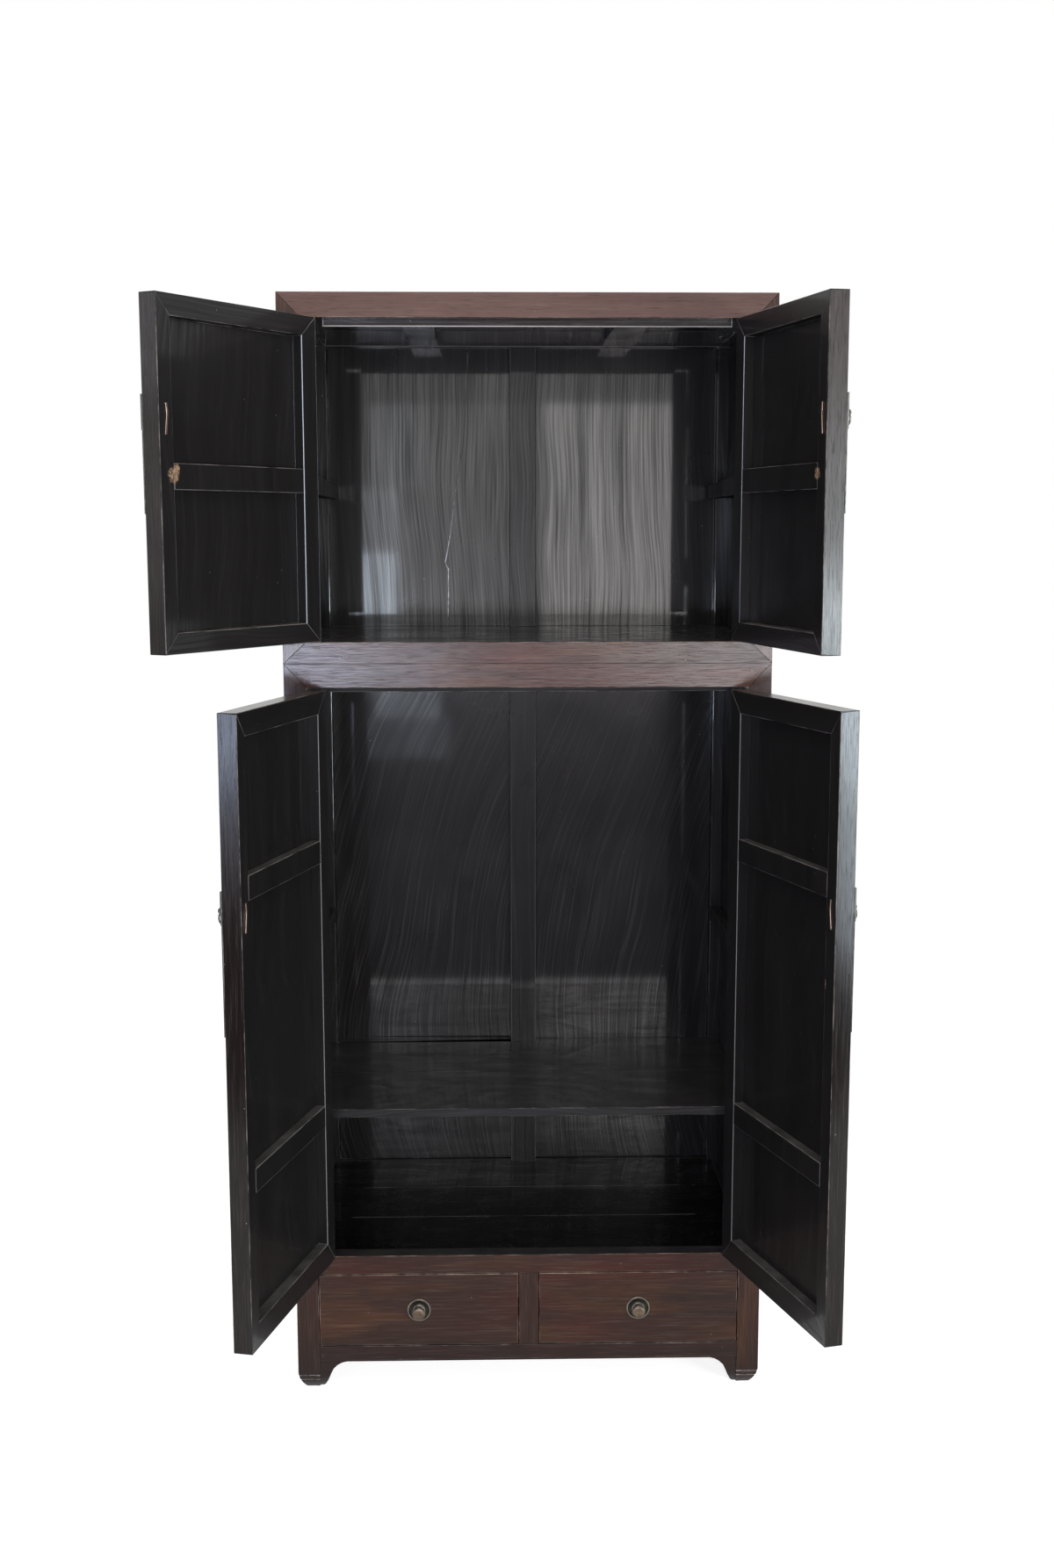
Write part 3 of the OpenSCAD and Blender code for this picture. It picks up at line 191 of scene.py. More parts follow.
def window(name, x, y, z, glow, colour):
    """An upright pane at y that faces the cabinet, from x[0] to x[1] and z[0] to z[1]."""
    centre = ((x[0] + x[1]) / 2, y, (z[0] + z[1]) / 2)
    softbox(name, centre, (x[1] - x[0], z[1] - z[0]), (centre[0], 0, centre[2]), glow, colour)


softbox("overhead", (0, -2.4, 3.7), (2.6, 1.6), (0, 0, 1.5), 2.6)
softbox("overhead_rear", (0, 3.0, 3.7), (2.6, 1.6), (0, 0, 1.2), 1.6)
SILL = (0.92, 1.19)
window("window_wide", (-0.75, 1.6), -5.8, (1.25, 2.46), 0.85, (1, 0.99, 0.98))
window("window_right", (0.25, 1.6), -5.85, (1.25, 2.46), 2.2, (1, 0.96, 0.94))
window("window_left", (-0.86, -0.60), -5.75, (1.22, 1.62), 7.6, (0.76, 0.87, 1))
window("window_left_top", (-0.82, -0.58), -5.75, (1.62, 1.98), 1.9, (0.8, 0.9, 1))
window("window_left_high", (-0.76, -0.46), -5.75, (1.98, 2.44), 0.8, (0.8, 0.88, 1))
window("window_top", (-1.6, 1.8), -5.8, (2.48, 3.3), 0.35, (1, 0.95, 0.95))
window("sill_left", (-1.9, -0.85), -5.9, SILL, 62.0, (0.74, 0.81, 1))
window("sill_left_inner", (-0.85, -0.3), -5.9, SILL, 36.0, (0.82, 0.85, 1))
window("sill_middle", (-0.3, 0.5), -5.9, SILL, 13.5, (1, 0.87, 0.9))
window("sill_right_inner", (0.5, 0.95), -5.9, SILL, 24.0, (1, 0.93, 0.95))
window("sill_right", (0.95, 2.0), -5.9, SILL, 38.0, (0.98, 0.96, 0.99))
window("under_sill_left", (-0.74, -0.36), -5.9, (0.66, 0.90), 2.2, (0.78, 0.88, 1))
window("under_sill_left_low", (-0.80, -0.30), -5.9, (0.42, 0.66), 0.8, (0.8, 0.88, 1))

# The leaves' edges look past the camera, each to side windows of its own: where these stand, the edge that
# they light, their width, and the name, heights, brightness and colour of each pane.
SIDE_WINDOWS = (
    ("lower_left", (-2.69, -4.07), (-0.52, -0.71), 0.7, (
        ("window", (0.72, 1.5), 18.5, (0.66, 0.76, 1)),
        ("window_low", (0.36, 0.66), 3.0, (0.84, 0.86, 1)))),
    ("upper_left", (-3.45, -1.71), (-0.64, -0.66), 0.7, (
        ("window", (2.2, 2.9), 2.4, (0.92, 0.92, 1)),
        ("window_low", (1.5, 2.1), 1.0, (0.95, 0.9, 1)))),
    ("lower_right", (3.19, -3.70), (0.54, -0.71), 0.7, (
        ("window", (0.72, 1.5), 37.0, (0.80, 0.93, 1)),
        ("window_low", (0.04, 0.70), 19.0, (0.80, 0.91, 1)))),
    ("upper_right", (2.53, -4.16), (0.50, -0.71), 0.6, (
        ("window", (1.15, 1.56), 40.0, (0.86, 0.96, 1)),
        ("window_mid", (1.56, 2.2), 11.0, (0.95, 0.98, 1)),
        ("window_top", (2.2, 2.9), 6.0, (1, 0.93, 0.92)))))
for leaf, stand, aim, wide, panes in SIDE_WINDOWS:
    for pane, (low, high), glow, colour in panes:
        middle = (low + high) / 2
        softbox(f"{leaf}_{pane}", (*stand, middle), (wide, high - low), (*aim, middle), glow, colour)

# Front posts of the lower cabinet: two pieces of hardwood, rounded at the foot and grooved by the carver,
# under a thin reddish brown lacquer that lets the long grain show and has rubbed through on the arrises.
# How often each kind of mark comes to the metre, along the wood and across it both ways, goes with them.
FIGURE = (1.6, 26, 26)
FIBRE = (7, 420, 420)
PORES = (26, 900, 900)
STREAKS = (12, 420, 420)
GOLDEN = (3.5, 17, 17)
RUDDY = (3.25, 11.7, 11.7)
HAIRS = (3.0, 30, 240)
PASSES = (1.6, 8, 30)
CARVED_LINES = (0.0192, 0.0297)


def hexed(code):
    """A colour as linear values, from the six digits that a paint chart gives."""
    levels = [int(code[i:i + 2], 16) / 255 for i in (0, 2, 4)]
    return tuple(v / 12.92 if v < 0.04045 else ((v + 0.055) / 1.055) ** 2.4 for v in levels) + (1,)


def new_group(name, inputs, outputs):
    """A node group with named sockets, its tree, what comes in and where the results go."""
    made = bpy.data.node_groups.new(name, "ShaderNodeTree")
    for label, value in inputs.items():
        kind = "NodeSocketVector" if value is None else "NodeSocketFloat"
        socket = made.interface.new_socket(label, in_out="INPUT", socket_type=kind)
        if value is not None:
            socket.default_value = value
    for label in outputs:
        made.interface.new_socket(label, in_out="OUTPUT", socket_type="NodeSocketFloat")
    return made, made.nodes.new("NodeGroupInput").outputs, made.nodes.new("NodeGroupOutput").inputs


def plus(tree, a, b):
    return reckon(tree, "ADD", a, b)


def moved(tree, place, by):
    return add(tree, "VectorMath", {0: place, 1: by}, operation="ADD").outputs[0]


def noise(tree, place, scale, detail=2.0, rough=0.5, twist=0.0):
    """Cloudy marks, so many to the metre, or as many as scale gives for each of the three directions."""
    if isinstance(scale, tuple):
        place = add(tree, "VectorMath", {0: place, 1: scale}, operation="MULTIPLY").outputs[0]
        scale = 1.0
    made = add(tree, "TexNoise", {"Vector": place, "Scale": scale, "Detail": detail, "Roughness": rough,
                                  "Distortion": twist})
    return made.outputs["Fac"]


def spread(tree, value, low, high, to_low=0.0, to_high=1.0):
    """value from low..high to to_low..to_high, cut off at both ends."""
    made = add(tree, "MapRange", {"Value": value, "From Min": low, "From Max": high, "To Min": to_low,
                                  "To Max": to_high})
    return made.outputs["Result"]


def part_of(tree, vector, axis):
    return add(tree, "SeparateXYZ", {0: vector}).outputs[axis]


def painted(tree, name):
    """The value that the mesh keeps for each face under this name."""
    return add(tree, "Attribute", attribute_name=name).outputs["Fac"]


long_grain, given, result = new_group("long grain", {"Place": None, "Board": 0.0},
                                      ("Figure", "Fibre", "Pores"))
shift = add(long_grain, "CombineXYZ", {0: times(long_grain, given["Board"], 3.7),
                                       1: times(long_grain, given["Board"], 9.1),
                                       2: times(long_grain, given["Board"], 5.3)}).outputs[0]
place = moved(long_grain, given["Place"], shift)
bands = noise(long_grain, place, FIGURE, 3.0, 0.55, 0.6)
fibre = noise(long_grain, place, FIBRE, 3.0, 0.6)
pores = noise(long_grain, place, PORES, 1.0, 0.5)
feed(long_grain, result["Figure"], spread(long_grain, bands, 0.3, 0.7))
feed(long_grain, result["Fibre"], spread(long_grain, fibre, 0.32, 0.68))
feed(long_grain, result["Pores"], spread(long_grain, pores, 0.60, 0.72))

worn_arris, given, result = new_group("worn arris", {"Place": None, "Wear": 0.5}, ("Worn",))
rubbed = noise(worn_arris, given["Place"], 16, 3.0, 0.7)
limit = reckon(worn_arris, "SUBTRACT", 0.85, given["Wear"])
rubbed = spread(worn_arris, rubbed, limit, plus(worn_arris, limit, 0.25))
feed(worn_arris, result["Worn"], times(worn_arris, painted(worn_arris, "arris"), rubbed))

open_seam, given, result = new_group("open seam", {"Place": None, "Depth": 1.0}, ("Seam", "Chafed"))
seam = painted(open_seam, "seam")
chafed = spread(open_seam, noise(open_seam, given["Place"], 7, 4.0, 0.7), 0.35, 0.6)
feed(open_seam, result["Seam"], times(open_seam, seam, given["Depth"]))
feed(open_seam, result["Chafed"], times(open_seam, seam, chafed))

settled_dust, given, result = new_group("settled dust", {"Place": None, "Amount": 0.5}, ("Dust",))
facing = part_of(settled_dust, add(settled_dust, "NewGeometry").outputs["Normal"], "Z")
level = spread(settled_dust, facing, 0.6, 1.0)
patchy = spread(settled_dust, noise(settled_dust, given["Place"], 14, 4.0, 0.65), 0.3, 0.75, 0.25, 1.0)
feed(settled_dust, result["Dust"], times(settled_dust, times(settled_dust, level, patchy), given["Amount"]))

# Brush marks run along the wood and sway, and where Bend is set they curve more the farther they are from
# BEND_AT.
BEND_AT = 0.6
brush_marks, given, result = new_group("brush marks", {"Place": None, "Bend": 0.0},
                                       ("Height", "Hairs", "Passes"))
past = reckon(brush_marks, "SUBTRACT", part_of(brush_marks, given["Place"], "X"), BEND_AT)
bent = times(brush_marks, times(brush_marks, past, past), given["Bend"])
sway = times(brush_marks, noise(brush_marks, given["Place"], 2.2, 1.0), 0.08)
swayed = add(brush_marks, "CombineXYZ", {2: plus(brush_marks, bent, sway)}).outputs[0]
place = moved(brush_marks, given["Place"], swayed)
hairs = noise(brush_marks, place, HAIRS, 3.0, 0.65)
passes = noise(brush_marks, place, PASSES, 2.0, 0.5)
feed(brush_marks, result["Height"], plus(brush_marks, hairs, times(brush_marks, passes, 2.5)))
feed(brush_marks, result["Hairs"], spread(brush_marks, hairs, 0.3, 0.7))
feed(brush_marks, result["Passes"], spread(brush_marks, passes, 0.3, 0.7))

flecks, given, result = new_group("flecks", {"Place": None, "Share": 0.05}, ("Fleck",))
cells = add(flecks, "TexVoronoi", {"Vector": given["Place"], "Scale": 85.0})
speck = spread(flecks, cells.outputs["Distance"], 0.10, 0.05)
few = reckon(flecks, "LESS_THAN", part_of(flecks, cells.outputs["Color"], "X"), given["Share"])
feed(flecks, result["Fleck"], times(flecks, speck, few))


def use(tree, group, inputs):
    return add(tree, "Group", inputs, node_tree=group).outputs


def blend(tree, share, low, high):
    """A colour between low and high. Each is another node's output or the six digits of a paint chart."""
    low, high = (hexed(tone) if isinstance(tone, str) else tone for tone in (low, high))
    return add(tree, "Mix", {"Factor": share, 6: low, 7: high}, data_type="RGBA").outputs[2]


def own_place(tree):
    return add(tree, "TexCoord").outputs["Object"]


ALONG = {"x": (0, 0, 0), "y": (0, 0, -pi / 2), "z": (0, pi / 2, 0)}


def grain_place(tree, along, turn=0.0):
    """The piece's own coordinates, turned so that the first runs along the wood."""
    place = own_place(tree)
    if turn:
        place = add(tree, "Mapping", {"Vector": place, "Rotation": (0, 0, turn)}).outputs[0]
    if along != "x":
        place = add(tree, "Mapping", {"Vector": place, "Rotation": ALONG[along]}).outputs[0]
    return place


def surface(tree, tone, rough, marks, strength, depth, more):
    """The finished surface, with its marks raised by depth metres, and more of what makes it shine."""
    bump = add(tree, "Bump", {"Strength": strength, "Distance": depth, "Height": marks}).outputs[0]
    inputs = {"Base Color": tone, "Roughness": rough, "Normal": bump, **more}
    put_out(tree, add(tree, "BsdfPrincipled", inputs))


@cache
def front_lacquer(along, turn=0.0, colour="1f1008", pale="311912", rubbed="a58c7a", wear=0.42,
                  name="front lacquer", carved=(), patches=True):
    """Thin reddish brown lacquer over open grain, golden and ruddy in patches, and darker near the floor."""
    material, tree = empty_material(f"{name}, grain along {along}")
    place = grain_place(tree, along, turn)
    up = part_of(tree, own_place(tree), "Z")
    grain = use(tree, long_grain, {"Place": place, "Board": painted(tree, "board")})
    tone = blend(tree, grain["Figure"], colour, pale)
    if patches:
        golden = spread(tree, noise(tree, place, GOLDEN, 3.0, 0.6), 0.50, 0.70, 0.0, 0.75)
        tone = blend(tree, golden, tone, "4c2b10")
        ruddy = spread(tree, noise(tree, place, RUDDY, 2.0, 0.5), 0.52, 0.7, 0.0, 0.7)
        tone = blend(tree, ruddy, tone, "3f130b")
    tone = blend(tree, times(tree, grain["Fibre"], 0.5), tone, pale)
    streaks = spread(tree, noise(tree, place, STREAKS, 3.0, 0.6), 0.5, 0.75, 0.0, 0.09)
    tone = blend(tree, streaks, tone, rubbed)
    tone = blend(tree, times(tree, grain["Pores"], 0.6), tone, "1a0b08")
    worn = use(tree, worn_arris, {"Place": place, "Wear": wear})["Worn"]
    dust = use(tree, settled_dust, {"Place": place, "Amount": 0.35})["Dust"]
    fleck = use(tree, flecks, {"Place": place, "Share": 0.03})["Fleck"]
    seam = use(tree, open_seam, {"Place": place, "Depth": 0.9})["Seam"]
    tone = blend(tree, times(tree, worn, 0.75), tone, rubbed)
    tone = blend(tree, dust, tone, "8a8580")
    tone = blend(tree, times(tree, fleck, 0.6), tone, "a39a92")
    tone = blend(tree, spread(tree, up, 0.03, 0.14, 0.6, 0.0), tone, "17110e")
    for line in carved:
        lower_rim = spread(tree, up, line, line + 0.0008)
        upper_rim = spread(tree, up, line + 0.0026, line + 0.0018)
        chipped = spread(tree, noise(tree, place, 120, 3.0, 0.6), 0.35, 0.55, 0.15, 0.75)
        tone = blend(tree, times(tree, times(tree, lower_rim, upper_rim), chipped), tone, "a8a29b")
    tone = blend(tree, seam, tone, "0b0605")
    rough = spread(tree, grain["Fibre"], 0, 1, 0.13, 0.19)
    rough = plus(tree, rough, times(tree, plus(tree, worn, dust), 0.3))
    rough = plus(tree, rough, times(tree, seam, 0.5))
    marks = plus(tree, grain["Fibre"], times(tree, grain["Pores"], -1.0))
    surface(tree, tone, rough, marks, 0.25, 0.00012, {"Specular IOR Level": 0.22})
    return material


def how_far(tree, place, centre):
    return add(tree, "VectorMath", {0: place, 1: centre}, operation="DISTANCE").outputs["Value"]


def rubbed_spot(tree, centre, radius):
    """1 on a patch that hands have rubbed bare, with a ragged edge, and 0 away from it."""
    away = how_far(tree, own_place(tree), centre)
    ragged = plus(tree, times(tree, away, 1 / radius), noise(tree, own_place(tree), 150, 4.0, 0.7))
    return spread(tree, ragged, 1.35, 1.1)


@cache
def inside_lacquer(along, turn=0.0, colour="1f1d1d", deep="151314", rubbed="7d7671", dusty=0.10, specks=0.02,
                   wear=0.3, hairy=0.4, gloss=1.0, dull=0.0, mirror=1.5, bend=0.0, spots=(),
                   name="inside lacquer"):
    """Black lacquer, brushed on and polished only by use, so that its shine comes in streaks."""
    material, tree = empty_material(f"{name}, brushed along {along}")
    place = grain_place(tree, along, turn)
    marks = use(tree, brush_marks, {"Place": place, "Bend": bend})
    worn = use(tree, worn_arris, {"Place": place, "Wear": wear})["Worn"]
    dust = use(tree, settled_dust, {"Place": place, "Amount": dusty})["Dust"]
    fleck = use(tree, flecks, {"Place": place, "Share": specks})["Fleck"]
    seam = use(tree, open_seam, {"Place": place, "Depth": 0.8})
    tone = blend(tree, marks["Passes"], colour, deep)
    tone = blend(tree, spread(tree, marks["Hairs"], 0.55, 0.95, 0.0, hairy), tone, "3c3838")
    tone = blend(tree, times(tree, worn, 0.7), tone, rubbed)
    tone = blend(tree, plus(tree, dust, times(tree, fleck, 0.5)), tone, "9a9490")
    tone = blend(tree, seam["Seam"], tone, "060505")
    tone = blend(tree, times(tree, seam["Chafed"], 0.8), tone, "8a8582")
    bare = 0.0
    for centre, radius in spots:
        spot = rubbed_spot(tree, centre, radius)
        grubby = spread(tree, noise(tree, place, 260, 4.0, 0.7), 0.40, 0.6, 0.1, 0.9)
        tone = blend(tree, times(tree, spot, grubby), tone, "a58468")
        bare = plus(tree, bare, spot)
    matt = plus(tree, plus(tree, worn, dust), plus(tree, seam["Seam"], bare))
    rough = spread(tree, noise(tree, place, 9, 3.0, 0.6), 0.3, 0.7, 0.26 + dull, 0.36 + dull)
    rough = plus(tree, rough, times(tree, matt, 0.3))
    shine = plus(tree, times(tree, marks["Hairs"], 0.6), times(tree, marks["Passes"], 0.3))
    shine = plus(tree, shine, times(tree, matt, -1.0))
    shine = spread(tree, shine, 0.15, 0.68, 0.18 * gloss, 0.98 * gloss)
    surface(tree, tone, rough, marks["Height"], 0.5, 0.0001, {
        "Specular IOR Level": 0.12, "Coat Weight": shine, "Coat Roughness": 0.05 + dull, "Coat IOR": mirror})
    return material


# How a plain piece is dressed: what counts as one point and one face, how far beside an edge another piece is
# looked for and how near it has to be to cover that edge, the widths of a worn arris and of an open seam, and
# the shortest and the bluntest edge that is eased. Edges blunter than the last angle look rounded.
SAME_POINT = 0.00002
SAME_FACE = radians(0.4)
BESIDE = 0.0015
TOUCH = 0.0004
ARRIS = 0.0011
SEAM = 0.0005
SHORTEST = 0.012
EASED_FROM = radians(28)
CRISP_FROM = radians(12)
corners, faces, owners = [], [], []
for name, piece in nodes.items():
    faces += [tuple(len(corners) + i for i in face.vertices) for face in piece.data.polygons]
    owners += [name] * len(piece.data.polygons)
    corners += [v.co.copy() for v in piece.data.vertices]


def neighbours_of(name):
    """A tree of every other piece's faces, which tells where this piece is covered."""
    return BVHTree.FromPolygons(corners, [f for f, owner in zip(faces, owners) if owner != name])


def open_sides(edge, neighbours):
    """How many of the edge's two faces lie open to the air beside it."""
    count = 0
    for loop in edge.link_loops:
        start, end = loop.vert.co, loop.link_loop_next.vert.co
        into = loop.face.normal.cross((end - start).normalized()) * BESIDE
        points = [start.lerp(end, share) + into for share in (0.2, 0.5, 0.8)]
        count += any(neighbours.find_nearest(p, TOUCH)[0] is None for p in points)
    return count


# Boards are numbered from the left, the front and below, always in the same order, and the grain moves on by
# a step from each to the next.
BOARD_ORDER = Vector((1, 2.3, 5.1))
BOARD_STEP = 0.377


def number_boards(bm):
    """Gives each separate board of a piece a number of its own, so that no two have the same grain."""
    layer = bm.faces.layers.float["board"]
    waiting = set(bm.faces)
    boards = []
    while waiting:
        board = [waiting.pop()]
        for face in board:
            for edge in face.edges:
                for other in edge.link_faces:
                    if other in waiting:
                        waiting.remove(other)
                        board.append(other)
        boards.append(board)
    boards.sort(key=lambda board: min(v.co.dot(BOARD_ORDER) for face in board for v in face.verts))
    for count, board in enumerate(boards, 1):
        for face in board:
            face[layer] = (count * BOARD_STEP) % 1.0


def dressed(name, finishes, choose=None, arris=ARRIS, shortest=SHORTEST):
    """A copy of a plain piece with its arrises eased and its seams opened by a hair, in the finishes that
    choose gives for a face's centre and normal. It stands for the plain piece and rides where that rides."""
    bm = bmesh.new()
    bm.from_mesh(nodes[name].data)
    bmesh.ops.remove_doubles(bm, verts=bm.verts, dist=SAME_POINT)
    bmesh.ops.dissolve_limit(bm, angle_limit=SAME_FACE, verts=bm.verts, edges=bm.edges)
    for layer in ("board", "arris", "seam"):
        bm.faces.layers.float.new(layer)
    neighbours = neighbours_of(name)
    exposed = bm.edges.layers.int.new("exposed")
    for edge in bm.edges:
        if len(edge.link_loops) != 2 or edge.calc_length() < shortest:
            continue
        if edge.calc_face_angle_signed(0) > EASED_FROM:
            edge[exposed] = open_sides(edge, neighbours)
    for sides, width, steps, layer in ((1, SEAM, 1, "seam"), (2, arris, 2, "arris")):
        chosen = [e for e in bm.edges if e[exposed] == sides]
        made = bmesh.ops.bevel(bm, geom=chosen, offset=width, offset_type="OFFSET", segments=steps,
                               profile=0.5, affect="EDGES", clamp_overlap=False, material=-1)
        for face in made["faces"]:
            for mark in ("seam", "arris"):
                face[bm.faces.layers.float[mark]] = 1.0 if mark == layer else 0.0
    number_boards(bm)
    for face in bm.faces:
        face.material_index = choose(face.calc_center_median(), face.normal) if choose else 0
        face.smooth = True
    for edge in bm.edges:
        edge.smooth = len(edge.link_faces) == 2 and edge.calc_face_angle(0) < CRISP_FROM
    bm.edges.layers.int.remove(bm.edges.layers.int["exposed"])
    mesh = bpy.data.meshes.new(name + "_finished")
    bm.to_mesh(mesh)
    bm.free()
    for finish in finishes:
        mesh.materials.append(finish)
    piece = bpy.data.objects.new(name + "_finished", mesh)
    scene.collection.objects.link(piece)
    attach(piece, nodes[name]["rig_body"])
    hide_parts(name)


# Where the cabinet's outer skin begins at the sides, the front, the back and the top, and how high the feet
# are lacquered all round
SKIN_SIDE = 0.44
SKIN_FRONT = -0.25
SKIN_BACK = 0.235
SKIN_TOP = 2.19
FEET = 0.08


def outer_or_inner(centre, normal):
    """0 for a face on the cabinet's outer skin, 1 for one that looks inwards."""
    sideways = normal.x if centre.x > 0 else -normal.x
    outer = (sideways > 0.5 and abs(centre.x) > SKIN_SIDE
             or normal.y < -0.5 and centre.y < SKIN_FRONT
             or normal.y > 0.5 and centre.y > SKIN_BACK
             or abs(normal.z) > 0.5 and centre.z > SKIN_TOP)
    return 0 if outer or centre.z < FEET else 1


dressed("lower_front_posts", [front_lacquer("z", carved=CARVED_LINES), inside_lacquer("z", mirror=1.7)],
        outer_or_inner)


# Rear posts of both parts: plainer pieces of the same wood. Outside they have the same lacquer as the
# sides, the back and the top, browner than the front's and less rubbed, and inside they are black.
def side_lacquer(along):
    return front_lacquer(along, colour="22120b", pale="341c14", wear=0.3, name="side lacquer", patches=False)


for name in ("lower_rear_posts", "chest_rear_posts"):
    dressed(name, [side_lacquer("z"), inside_lacquer("z")], outer_or_inner)

# Front rails of the lower cabinet: the head rail is mitred to the posts, and the drawer rail and the bottom
# rail are tenoned in between. The apron under the bottom rail is cut to a bracket beside each foot.
for name in ("lower_head_rail", "drawer_rail"):
    dressed(name, [front_lacquer("x"), inside_lacquer("x")], outer_or_inner)
# The bottom rail is painted darker than the other rails, as painted shade low down by the floor.
shaded = front_lacquer("x", colour="1c0c07", pale="2b130c", wear=0.35, name="shaded front lacquer",
                       patches=False)
dressed("bottom_rail", [shaded, inside_lacquer("x")], outer_or_inner)

# The divider stands between the two drawers, from the rail under them to the rail over them. It is a short
# upright, lacquered like the rest of the front.
dressed("drawer_divider", [front_lacquer("z"), inside_lacquer("z")], outer_or_inner)

# Side rails and the frame of the back: the same hardwood, brown outside and black inside. The middle
# upright of the back has its grain up, and inside the frame's arrises are grey, partly rubbed and partly
# painted highlight, most of all on the upright.
MIDDLE_UPRIGHT = 0.04
for name in ("lower_side_rails", "chest_side_rails"):
    dressed(name, [side_lacquer("y"), inside_lacquer("y")], outer_or_inner)


def back_member(centre, normal):
    """Rails first, outside and inside, and then the upright between the back panels."""
    return (2 if abs(centre.x) < MIDDLE_UPRIGHT else 0) + outer_or_inner(centre, normal)


for name in ("lower_back_frame", "chest_back_frame"):
    rail = inside_lacquer("x", gloss=0.65, wear=0.6)
    # The upright's arrises are painted grey nearly all along, partly as rubbing and partly as painted
    # highlight.
    upright = inside_lacquer("z", gloss=0.68, wear=0.9)
    dressed(name, [side_lacquer("x"), rail, side_lacquer("z"), upright], back_member)

# Floating panels of the sides and the back: thin boards let into the frame, brown outside. Inside they have
# the same black lacquer as the rest, brushed on upright, and in arcs on the back of the lower cabinet.
for name in ("lower_side_panels", "chest_side_panels"):
    dressed(name, [side_lacquer("z"), inside_lacquer("z", gloss=0.2, dull=0.32)], outer_or_inner)
gleaming = inside_lacquer("z", gloss=0.95, mirror=1.58)
dressed("chest_back_panels", [side_lacquer("z"), gleaming], outer_or_inner)
in_arcs = inside_lacquer("z", colour="1b1919", deep="100e0f", bend=0.3, gloss=0.9, hairy=0.6, mirror=1.62)
dressed("lower_back_panels", [side_lacquer("z"), in_arcs], outer_or_inner)

# Boards that lie level: the top under the chest, the floor over the drawers, the shelf of two boards, and the
# chest's floor. They are black inside, with the dust of years on most of them.
dressed("lower_top_boards", [side_lacquer("x"), inside_lacquer("x")], outer_or_inner)
chest_floor = inside_lacquer("x", gloss=0.9, mirror=1.75)
dressed("chest_floor_boards", [side_lacquer("x"), chest_floor], outer_or_inner)
shelf_top = inside_lacquer("x", dusty=0.08, wear=0.35, mirror=1.8)
shelf_front = inside_lacquer("x", gloss=0.2, dull=0.15, wear=0.4)
dressed("shelf", [shelf_top, shelf_front], lambda centre, normal: 1 if normal.y < -0.5 else 0)
# The cabinet's floor is painted nearly black and without dust, as painted shade under the shelf, and given a
# strong gloss.
polished = inside_lacquer("x", colour="080707", deep="060505", dusty=0.0, wear=0.05, hairy=0.0, mirror=2.5)
dressed("cabinet_floor_boards", [side_lacquer("x"), polished], outer_or_inner, arris=0.0002)

# Strips under the head rails that the doors close against: thin battens of the same wood. The lower one is
# black and dull, and the chest's is rubbed to a pale line.
dressed("lower_stop_strip", [inside_lacquer("x", wear=0.5, gloss=0.1, dull=0.3)])
rubbed_strip = front_lacquer("x", colour="191314", pale="241b1c", rubbed="d8cdca", wear=0.95,
                             name="rubbed strip", patches=False)
dressed("chest_stop_strip", [rubbed_strip], arris=0.0018)

# Chest: posts with a mitre at the top and a half mitre at the foot, the head rail painted paler as painted
# light, and the floor rail that stands on the lower cabinet's head rail.
# The chest's front posts and, still more, its head rail are painted paler than the lower front, as painted
# light and sheen where the top of the cabinet is lit most.
painted_light_upright = front_lacquer("z", colour="33231e", pale="48342d", wear=0.45, name="faded front lacquer",
                              patches=False)
dressed("chest_front_posts", [painted_light_upright, inside_lacquer("z", mirror=1.7)], outer_or_inner)
dressed("chest_floor_rail", [front_lacquer("x"), inside_lacquer("x")], outer_or_inner)
painted_light_rail = front_lacquer("x", colour="4d3934", pale="644b45", wear=0.45, name="faded front lacquer",
                      patches=False)
dressed("chest_head_rail", [painted_light_rail, inside_lacquer("x")], outer_or_inner)

# Roof: boards side by side under a plain brown lacquer, black below. Two tapered battens on the inside hold
# them flat.
dressed("roof_boards", [side_lacquer("x"), inside_lacquer("x", gloss=0.25, hairy=0.1)], outer_or_inner)
dressed("roof_battens", [inside_lacquer("y", wear=0.2, gloss=0.2)])


# Runners and dust boards behind the drawers: plain softwood that no one sees. It was never finished, and it
# has turned brown with age.
@cache
def bare_wood(along):
    material, tree = empty_material(f"bare wood, grain along {along}")
    place = grain_place(tree, along)
    grain = use(tree, long_grain, {"Place": place, "Board": painted(tree, "board")})
    dust = use(tree, settled_dust, {"Place": place, "Amount": 0.35})["Dust"]
    tone = blend(tree, grain["Figure"], "7d6149", "a3866a")
    tone = blend(tree, times(tree, grain["Fibre"], 0.4), tone, "6a4f3a")
    tone = blend(tree, dust, tone, "8f8880")
    rough = spread(tree, grain["Fibre"], 0, 1, 0.6, 0.8)
    surface(tree, tone, rough, grain["Fibre"], 0.4, 0.0002, {"Specular IOR Level": 0.4})
    return material


def left_bare(name, along):
    """Gives a plain piece, as it is, the wood that was never finished."""
    spots = nodes[name].data.materials
    for spot in range(len(spots)):
        spots[spot] = bare_wood(along)


left_bare("drawer_runners", "y")
left_bare("dust_boards", "x")

